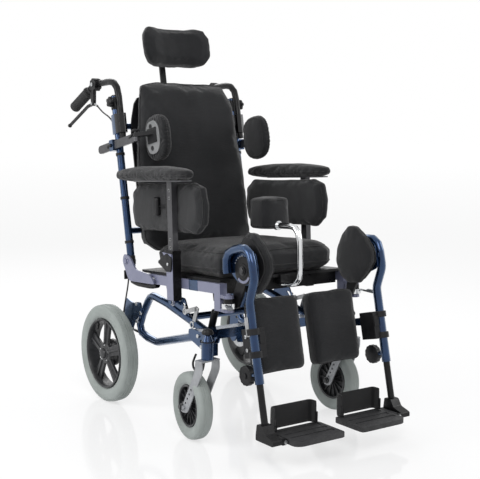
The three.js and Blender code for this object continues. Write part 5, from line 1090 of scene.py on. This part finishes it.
# The back frame: lacquered canes and cross bars with black sleeves and grey collars at the handle clamps,
# star-shaped hand screws and cable clips; the half of each handle clamp ahead of its cane is coated black.
def barrel(radius, length, ease):
    """The outline of a turned cylinder with its edges eased."""
    return [(0, 0), (radius - ease, 0), (radius, ease), (radius, length - ease), (radius - ease, length), (0, length)]


back_navy = navy.copy()
back_navy.name = "navy_lacquer_back"
tree = back_navy.node_tree
where = node_of(tree, "ShaderNodeTexCoord").outputs["Object"]
masks = []
for direction, middle, reach in ((back_up, 0.437, 0.037), (back_ahead, 0.0335, 0.02)):
    along = node_of(tree, "ShaderNodeVectorMath", {0: where, 1: direction}, operation="DOT_PRODUCT").outputs["Value"]
    inputs = {0: along, 1: direction.dot(at_cane(0, 0, 0)) + middle, 2: reach}
    masks.append(node_of(tree, "ShaderNodeMath", inputs, operation="COMPARE").outputs[0])
base_colour = tree.nodes["Principled BSDF"].inputs["Base Color"]
both_masks = math_of(tree, "MULTIPLY", *masks)
inputs = {"Factor": both_masks, "A": base_colour.links[0].from_socket, "B": (0.006, 0.006, 0.007, 1)}
feed(tree, base_colour, node_of(tree, "ShaderNodeMix", inputs, data_type="RGBA").outputs["Result"])
dress("back_frame", back_navy)
cane_out = 228
star_arm = [(0, -0.0048), (0.0058, -0.0048), (0.0068, -0.003), (0.0068, 0.003), (0.0058, 0.0048), (0, 0.0048)]
for hand, side in hands:
    outward, cane = OUT * side, cane_out * side
    sleeves = [
        turned(barrel(0.0138, (high_up - low_up) / 1000, 0.0012), at_cane(cane, 0, low_up), back_up, 36)
        for low_up, high_up in ((483, 522), (-12, 16))
    ]
    piece(f"cane_sleeves_{hand}", sleeves, black_moulding, "back")
    collar = turned(barrel(0.0142, 0.018, 0.001), at_cane(cane, 0, 435), back_up, 36)
    piece(f"cane_collar_{hand}", [collar], cast_grey, "back")
    plug = [(0, 0), (0.0125, 0), (0.0118, 0.003), (0.008, 0.0052), (0, 0.006)]
    piece(f"cane_plug_{hand}", [turned(plug, at_cane(cane, 0, 525.2), back_up, 32)], black_moulding, "back")
    centre = at_cane((cane_out + 17.2) * side, 12, 505)
    star = []
    for angle in (2 * math.pi * k / 5 for k in range(5)):
        arm = centre + (back_ahead * math.cos(angle) + back_up * math.sin(angle)) * 0.0105 + outward * 0.008
        star.append(turned(star_arm, arm, OUT, 20))
    boss = [(0, 0), (0.011, 0), (0.0125, 0.0035), (0.0125, 0.0125), (0.0095, 0.0145), (0, 0.0145)]
    star.append(turned(boss, centre, outward, 32))
    piece(f"handle_star_{hand}", star, black_moulding, "back")
    clips = []
    for up in (60, 200, 340):
        clips.append(ring(band(0.0128, 0.0144, -0.004, 0.004), at_cane(cane, 0, up), back_up, 36))
        clips.append(ring(band(0.0026, 0.0043, -0.004, 0.004), at_cane(cane, -19.2, up), back_up, 20))
        clips.append(block(at_cane(cane, -14.9, up), back_ahead, back_up, 0.003, 0.008, 0.004))
    piece(f"cable_clips_{hand}", clips, black_moulding, "back")
    pin = [
        hexagon(at_cane((cane_out + 13) * side, 0, 0), outward, 0.0095, 0.006),
        turned(slab(0.0125, 0, 0.0018), at_cane((cane_out + 12) * side, 0, 0), outward, 32),
    ]
    piece(f"recline_pin_{hand}", pin, zinc, "seat")
    knob = [
        (0, 0), (0.004, 0), (0.004, 0.008), (0.0085, 0.0095),
        (0.0105, 0.0125), (0.0105, 0.019), (0.008, 0.0215), (0, 0.0225),
    ]
    guide = [
        hexagon(at_cane((cane_out + 28) * side, -6, 369), outward, 0.0062, 0.004),
        turned(knob, at_cane((cane_out + 15) * side, -17, 369), -back_ahead, 24),
    ]
    piece(f"lateral_guide_knob_{hand}", guide, black_moulding, "back")
bars = [hexagon(at_cane(out, -12.4, up), -back_ahead, 0.006, 0.004) for up in (95, 430) for out in (-150, -60, 150, 60)]
piece("back_bar_bolts", bars, zinc, "back")

# Push handles: black tubes with toothed knuckles, ribbed rubber grips with a rolled end, and cast brake
# levers in a perch, each with its cable's adjuster.
grip_rubber = hard_finish(
    "grip_rubber", "black_rubber", (0.0105, 0.0105, 0.011), (0.02, 0.02, 0.0205), 0.68, grain=380, depth=0.45, drift=30
)
grip_slope = math.radians(14)


def at_grip(side, behind):
    """A point on the grip's line, this far behind its knuckle."""
    return at_cane(cane_out * side, -125.9 - behind * math.cos(grip_slope), 588 - behind * math.sin(grip_slope))


for hand, side in hands:
    outward, body = OUT * side, f"grip_{hand}"
    dress(f"push_handle_{hand}", black_coat)
    dress(f"handle_grip_{hand}", grip_rubber)
    dress(f"brake_lever_{hand}", black_coat)
    start, end = at_grip(side, 45), at_grip(side, 157.5)
    run, length = (end - start).normalized(), (end - start).length
    profile = [(0, 0), (0.0178, 0.0), (0.0192, 0.0015), (0.0192, 0.0045), (0.0176, 0.006)]
    ribs = 24
    step = (length - 0.018) / ribs
    for low in (0.008 + (length - 0.018) * k / ribs for k in range(ribs)):
        profile += [(0.0172, low), (0.0181, low + step * 0.2), (0.0181, low + step * 0.6), (0.0172, low + step * 0.8)]
    profile += [(0.0183, length - 0.008), (0.0183, length - 0.0015), (0.0165, length), (0, length)]
    piece(f"grip_ribs_{hand}", [turned(profile, start, run, 40)], grip_rubber, body)
    bolt = hexagon(at_cane((cane_out + 18.5) * side, -105, 588), outward, 0.0068, 0.005)
    nut = hexagon(at_cane((cane_out - 6.2) * side, -105, 588), -outward, 0.0068, 0.004)
    piece(f"knuckle_bolt_{hand}", [bolt], zinc, f"push_handle_{hand}")
    piece(f"knuckle_nut_{hand}", [nut], zinc, body)
    collar = ring(band(0.0112, 0.0132, -0.005, 0.005), at_grip(side, 26), run, 32)
    piece(f"perch_band_{hand}", [collar], black_moulding, body)
    pivot = hexagon(at_cane((cane_out + 6.2) * side, -145, 533), outward, 0.0048, 0.0028)
    piece(f"lever_pivot_{hand}", [pivot], zinc, body)
    profile = [(0, 0), (0.0042, 0), (0.0042, 0.012), (0.0034, 0.013), (0.0034, 0.017), (0, 0.017)]
    towards = at_cane(0, -118, 519) - at_cane(0, -132, 529)
    adjuster = turned(profile, at_cane(cane_out * side, -133, 530), towards, 20)
    piece(f"cable_adjuster_{hand}", [adjuster], bare_steel, body)

# The legrests: swing brackets and posts in black, lacquered swan-neck tubes, a black quadrant cover with an
# arc in the paler lacquer of painted highlight and steel teeth at each knee hub, a moulded clamp for the calf pad's
# arm, and a hand wheel.
at_leg, leg_ahead, leg_up = body_frame((middle_x, -0.40252, 0.49856), 13.2)
at_swing = body_frame((middle_x, -0.35335, 0.37657), 3.25)[0]
tube_out = 230


def leg_way(angle):
    return leg_ahead * math.cos(angle) + leg_up * math.sin(angle)


for hand, side in hands:
    outward, body, swing_body = OUT * side, f"leg_{hand}", f"leg_swing_{hand}"
    dress(f"leg_bracket_{hand}", black_coat)
    dress(f"leg_tube_{hand}", navy)
    dress(f"leg_lower_tube_{hand}", black_coat)
    hub = at_leg(217.6 * side, 0, 0)
    cover = [
        (0, 0), (0.0375, 0), (0.0385, 0.0008), (0.0385, 0.0016),
        (0.036, 0.0022), (0.021, 0.0022), (0.02, 0.0036), (0, 0.0036),
    ]
    piece(f"quadrant_cover_{hand}", [turned(cover, hub, outward, 56)], black_coat, body)
    ways = [leg_way(math.radians(215 + 105 * k / 20)) for k in range(21)]
    section = band(0.027, 0.034, 0.0018, 0.0034)
    arc = [[hub + way * reach + outward * out for reach, out in section] for way in ways]
    # The arc is in the paler copy of the lacquer, a painted highlight.
    piece(f"quadrant_arcs_{hand}", [joined_rings(arc)], lit_face_coat, body)
    ways = [leg_way(math.radians(30 + 14 * k)) for k in range(4, 9)]
    teeth = [block(hub + way * 0.0405 + outward * 0.0008, way, outward, 0.004, 0.0018, 0.0036) for way in ways]
    piece(f"quadrant_teeth_{hand}", teeth, bare_steel, body)
    head = [
        hexagon(at_leg(223.6 * side, 0, 0), outward, 0.0098, 0.0042),
        turned(slab(0.0125, 0, 0.0016), at_leg(222.2 * side, 0, 0), outward, 32),
    ]
    piece(f"hub_bolt_{hand}", head, rim_black, swing_body)
    # Clamp, collars and hand wheel, moulded over their steel cores
    middle = at_leg(206.9 * side, 2, -194.5)
    shells = [
        block(middle, leg_up, outward, 0.0785, 0.0206, 0.0575),
        block(at_leg(223.7 * side, -7.2, -194.5), leg_up, outward, 0.0785, 0.0138, 0.039),
        block(middle + leg_up * 0.012 + leg_ahead * 0.0292, leg_up, outward, 0.03, 0.018, 0.004),
    ]
    collar = [(0.0136, 0), (0.0165, 0), (0.0175, 0.001), (0.0175, 0.0165), (0.0165, 0.0175), (0.0136, 0.0175)]
    shells += [ring(collar, at_leg(tube_out * side, 26, up), leg_up, 36) for up in (-173, -233.5)]
    piece(f"leg_clamp_{hand}", shells, black_moulding, body, bevel=0.0022)
    screw = [(0, 0), (0.0052, 0), (0.0052, 0.0035), (0.0028, 0.0042), (0.0028, 0.002), (0, 0.002)]
    screws = [turned(screw, at_leg(230.8 * side, -8, up), outward, 20) for up in (-176, -212)]
    piece(f"leg_clamp_screws_{hand}", screws, zinc, body)
    centre = at_leg(tube_out * side, -26, -279)
    rim = [leg_way(2 * math.pi * k / 72) * (0.0274 if k % 6 < 3 else 0.0262) for k in range(72)]
    turns = ((-0.0082, 0.93), (-0.0072, 1), (0.0072, 1), (0.0082, 0.93), (0.0088, 0.7), (0.0082, 0.4))
    boss = [(0, 0), (0.0085, 0), (0.0085, 0.0105), (0.007, 0.0118), (0, 0.0118)]
    shells = [
        joined_rings([[centre + outward * out + way * share for way in rim] for out, share in turns]),
        turned(boss, centre, outward, 32),
    ]
    piece(f"leg_hand_wheel_{hand}", shells, black_moulding, body, sharp=30)
    tongue = block(at_leg((tube_out + 13.5) * side, 20, -150), leg_up, outward, 0.052, 0.003, 0.014)
    piece(f"leg_catch_{hand}", [tongue], bare_steel, body, bevel=0.0006)
    # The post's socket: a chrome clamp with its grey-paddled lever
    clamp = [(0.0168, -0.007), (0.0198, -0.007), (0.0204, 0), (0.0198, 0.007), (0.0168, 0.007)]
    clamp = ring(clamp, at_swing(tube_out * side, 0, 20), seat_up, 40)
    piece(f"post_clamp_{hand}", [clamp], chrome, swing_body)
    along = Vector((0.35 * side, -0.9, -0.1))
    lever = block(at_swing((tube_out + 20) * side, 20, 22), along, seat_up, 0.036, 0.006, 0.009)
    paddle = block(at_swing((tube_out + 27) * side, 42, 20.5), along, seat_up, 0.022, 0.009, 0.014)
    piece(f"post_lever_{hand}", [lever], chrome, swing_body, bevel=0.0015)
    piece(f"post_lever_paddle_{hand}", [paddle], cast_grey, swing_body, bevel=0.002)

# Calf pads: flat stuffed boards with soft corners and two rows of piping, on black lugs hinged by a pin to
# the clamp's arm. The left one is mirrored to the right.
levels = [
    (0.86, -69.5), (0.975, -67.5), (0.998, -60), (1.0, -50),
    (0.995, -38), (0.965, -31.5), (0.86, -28.6), (0.5, -26.8),
]
shell = pillow(round_outline(84.5, 102.5, 13, 64), lambda u, v, w: at_leg(104 + u, w, -180 + v), levels)
calf = soft_shape("calf_pad_left_stuffed", [shell], 0.0048, 1)
stuffed(calf, "calf_pad_left", 0.09, 0.0005, 8.0, 0.0022, "xz")
for hand, side, pad in pair_of(calf, "calf_pad"):
    body = f"calf_pad_{hand}"
    finish_pad(pad, body, body)
    piping(f"calf_piping_{hand}", pad, at_leg(104 * side, -50, -180), OUT, leg_up, body, (0.0125, -0.0125), 0.0014, 240)
    ear = ((-66, -20), (-66, 20), (-76, 16), (-86, 9), (-90, 3), (-90, -3), (-86, -9), (-76, -16))
    plates = [
        joined_rings([[at_leg((104 + spread + out) * side, ahead, -180 + up) for ahead, up in ear] for out in (-4, 4)])
        for spread in (-43, 43)
    ]
    plates.append(block(at_leg(104 * side, -70.4, -180), OUT, leg_up, 0.118, 0.062, 0.003))
    piece(f"calf_lugs_{hand}", plates, black_coat, body, bevel=0.0007)
    washers = [turned(slab(0.0085, -0.002, 0.002), at_leg(out * side, -80.3, -180), OUT, 28) for out in (53.5, 153.5)]
    piece(f"calf_pin_washers_{hand}", washers, zinc, f"leg_{hand}")

# Knee pads: pointed stuffed shells with two rows of piping on a black moulded board, which turns on the hub
# pin. The left one is mirrored to the right.
knee = stuffed(net_of("knee_pad_left", 0.0045, 0.002), "knee_pad_left", 0.07, 0.0009, 9.0, 0.004, "")
leaf = [
    Vector(share)
    for share in (
        (-0.12, -0.4), (0.14, -0.38), (0.34, -0.2), (0.5, 0.02), (0.48, 0.2), (0.3, 0.42),
        (0.08, 0.58), (-0.1, 0.6), (-0.28, 0.44), (-0.42, 0.2), (-0.46, -0.04), (-0.34, -0.28),
    )
]
outline = []
for i, here in enumerate(leaf):
    outline += [(leaf[i - 1] + here * 5) / 6, (here * 5 + leaf[(i + 1) % len(leaf)]) / 6]
leaf_long, leaf_high = 166 * 0.86, 176 * 0.86
for hand, side, pad in pair_of(knee, "knee_pad"):
    body = f"knee_pad_{hand}"
    finish_pad(pad, body, body)
    middle = at_swing(181 * side, 56, 124)
    piping(f"knee_piping_{hand}", pad, middle, seat_ahead, seat_up, body, (0.006, -0.006), 0.0014)
    places = [(56 + share.x * leaf_long, 119 + share.y * leaf_high) for share in outline]
    board = [[at_swing(out * side, *place) for place in places] for out in (199.2, 202.4)]
    piece(f"knee_board_{hand}", [joined_rings(board)], black_moulding, body, bevel=0.0008)

# Footplates: grained black trays on their hinge housings with zinc pin heads, and a padded heel strap with
# bound edges that bows back behind each tray from two riveted tabs.
tray_finish = hard_finish(
    "tray_plastic", "dark_plastic", (0.014, 0.014, 0.0152), (0.028, 0.028, 0.03), 0.6, grain=520, depth=0.4, drift=18
)
at_foot = body_frame((middle_x, -0.521, 0.10727))[0]
strap_edge = 0.0305
strap_half = (
    (-strap_edge, -0.0007), (-0.0285, -0.0017), (-0.02, -0.0023), (0, -0.0026),
    (0.02, -0.0023), (0.0285, -0.0017), (strap_edge, -0.0007),
)
strap_section = strap_half + tuple((-up, -out) for up, out in strap_half)
for hand, side in hands:
    body = f"footplate_{hand}"
    dress(body, tray_finish)
    tab_outs = (47.6, 188.3)
    corners = [(tab_outs[0], -8.7), (tab_outs[0], -32.7), (tab_outs[1], -32.7), (tab_outs[1], -8.7)]
    line = bent_route([at_foot(out * side, ahead, 1.3) for out, ahead in corners], 0.016, 9)
    flat = []
    for a, b in zip(line, line[1:]):
        steps = max(1, round((b - a).length / 0.006))
        flat += [a.lerp(b, k / steps) for k in range(steps)]
    flat.append(line[-1])
    rings = []
    for i, point in enumerate(flat):
        ahead = (flat[min(i + 1, len(flat) - 1)] - flat[max(i - 1, 0)]).normalized()
        bulge = 1 + 0.12 * math.sin(i / (len(flat) - 1) * math.pi)
        rings.append([point + UP * up + ahead.cross(UP) * out * bulge for up, out in strap_section])
    strap = piece(f"heel_strap_{hand}_padded", [joined_rings(rings)], piping_cloth, body, sharp=60)
    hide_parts(f"heel_strap_{hand}")
    binding = [tube([point + UP * up for point in flat], 0.0013, 8) for up in (-strap_edge, strap_edge)]
    piece(f"heel_strap_binding_{hand}", binding, piping_cloth, body, sharp=80)
    tabs = []
    for out, facing in zip(tab_outs, (-OUT * side, OUT * side)):
        tabs.append(block(at_foot(out * side, -8.5, -12), UP, OUT, 0.032, 0.004, 0.014))
        rivet = [(0, 0), (0.0044, 0), (0.0034, 0.0016), (0, 0.002)]
        tabs.append(turned(rivet, at_foot(out * side, -8.5, -14) + facing * 0.002, facing, 16))
    piece(f"heel_strap_tabs_{hand}", tabs, black_moulding, body, bevel=0.0008)
    pin_ends = [at_foot(205.9 * side, ahead, -37) for ahead in (-17.4, 59.7)]
    heads = [turned(slab(0.0056, -0.0016, 0.0016), end, Vector((0, 1, 0)), 20) for end in pin_ends]
    piece(f"hinge_pin_heads_{hand}", heads, zinc, f"foot_{hand}")

bpy.context.view_layer.update()
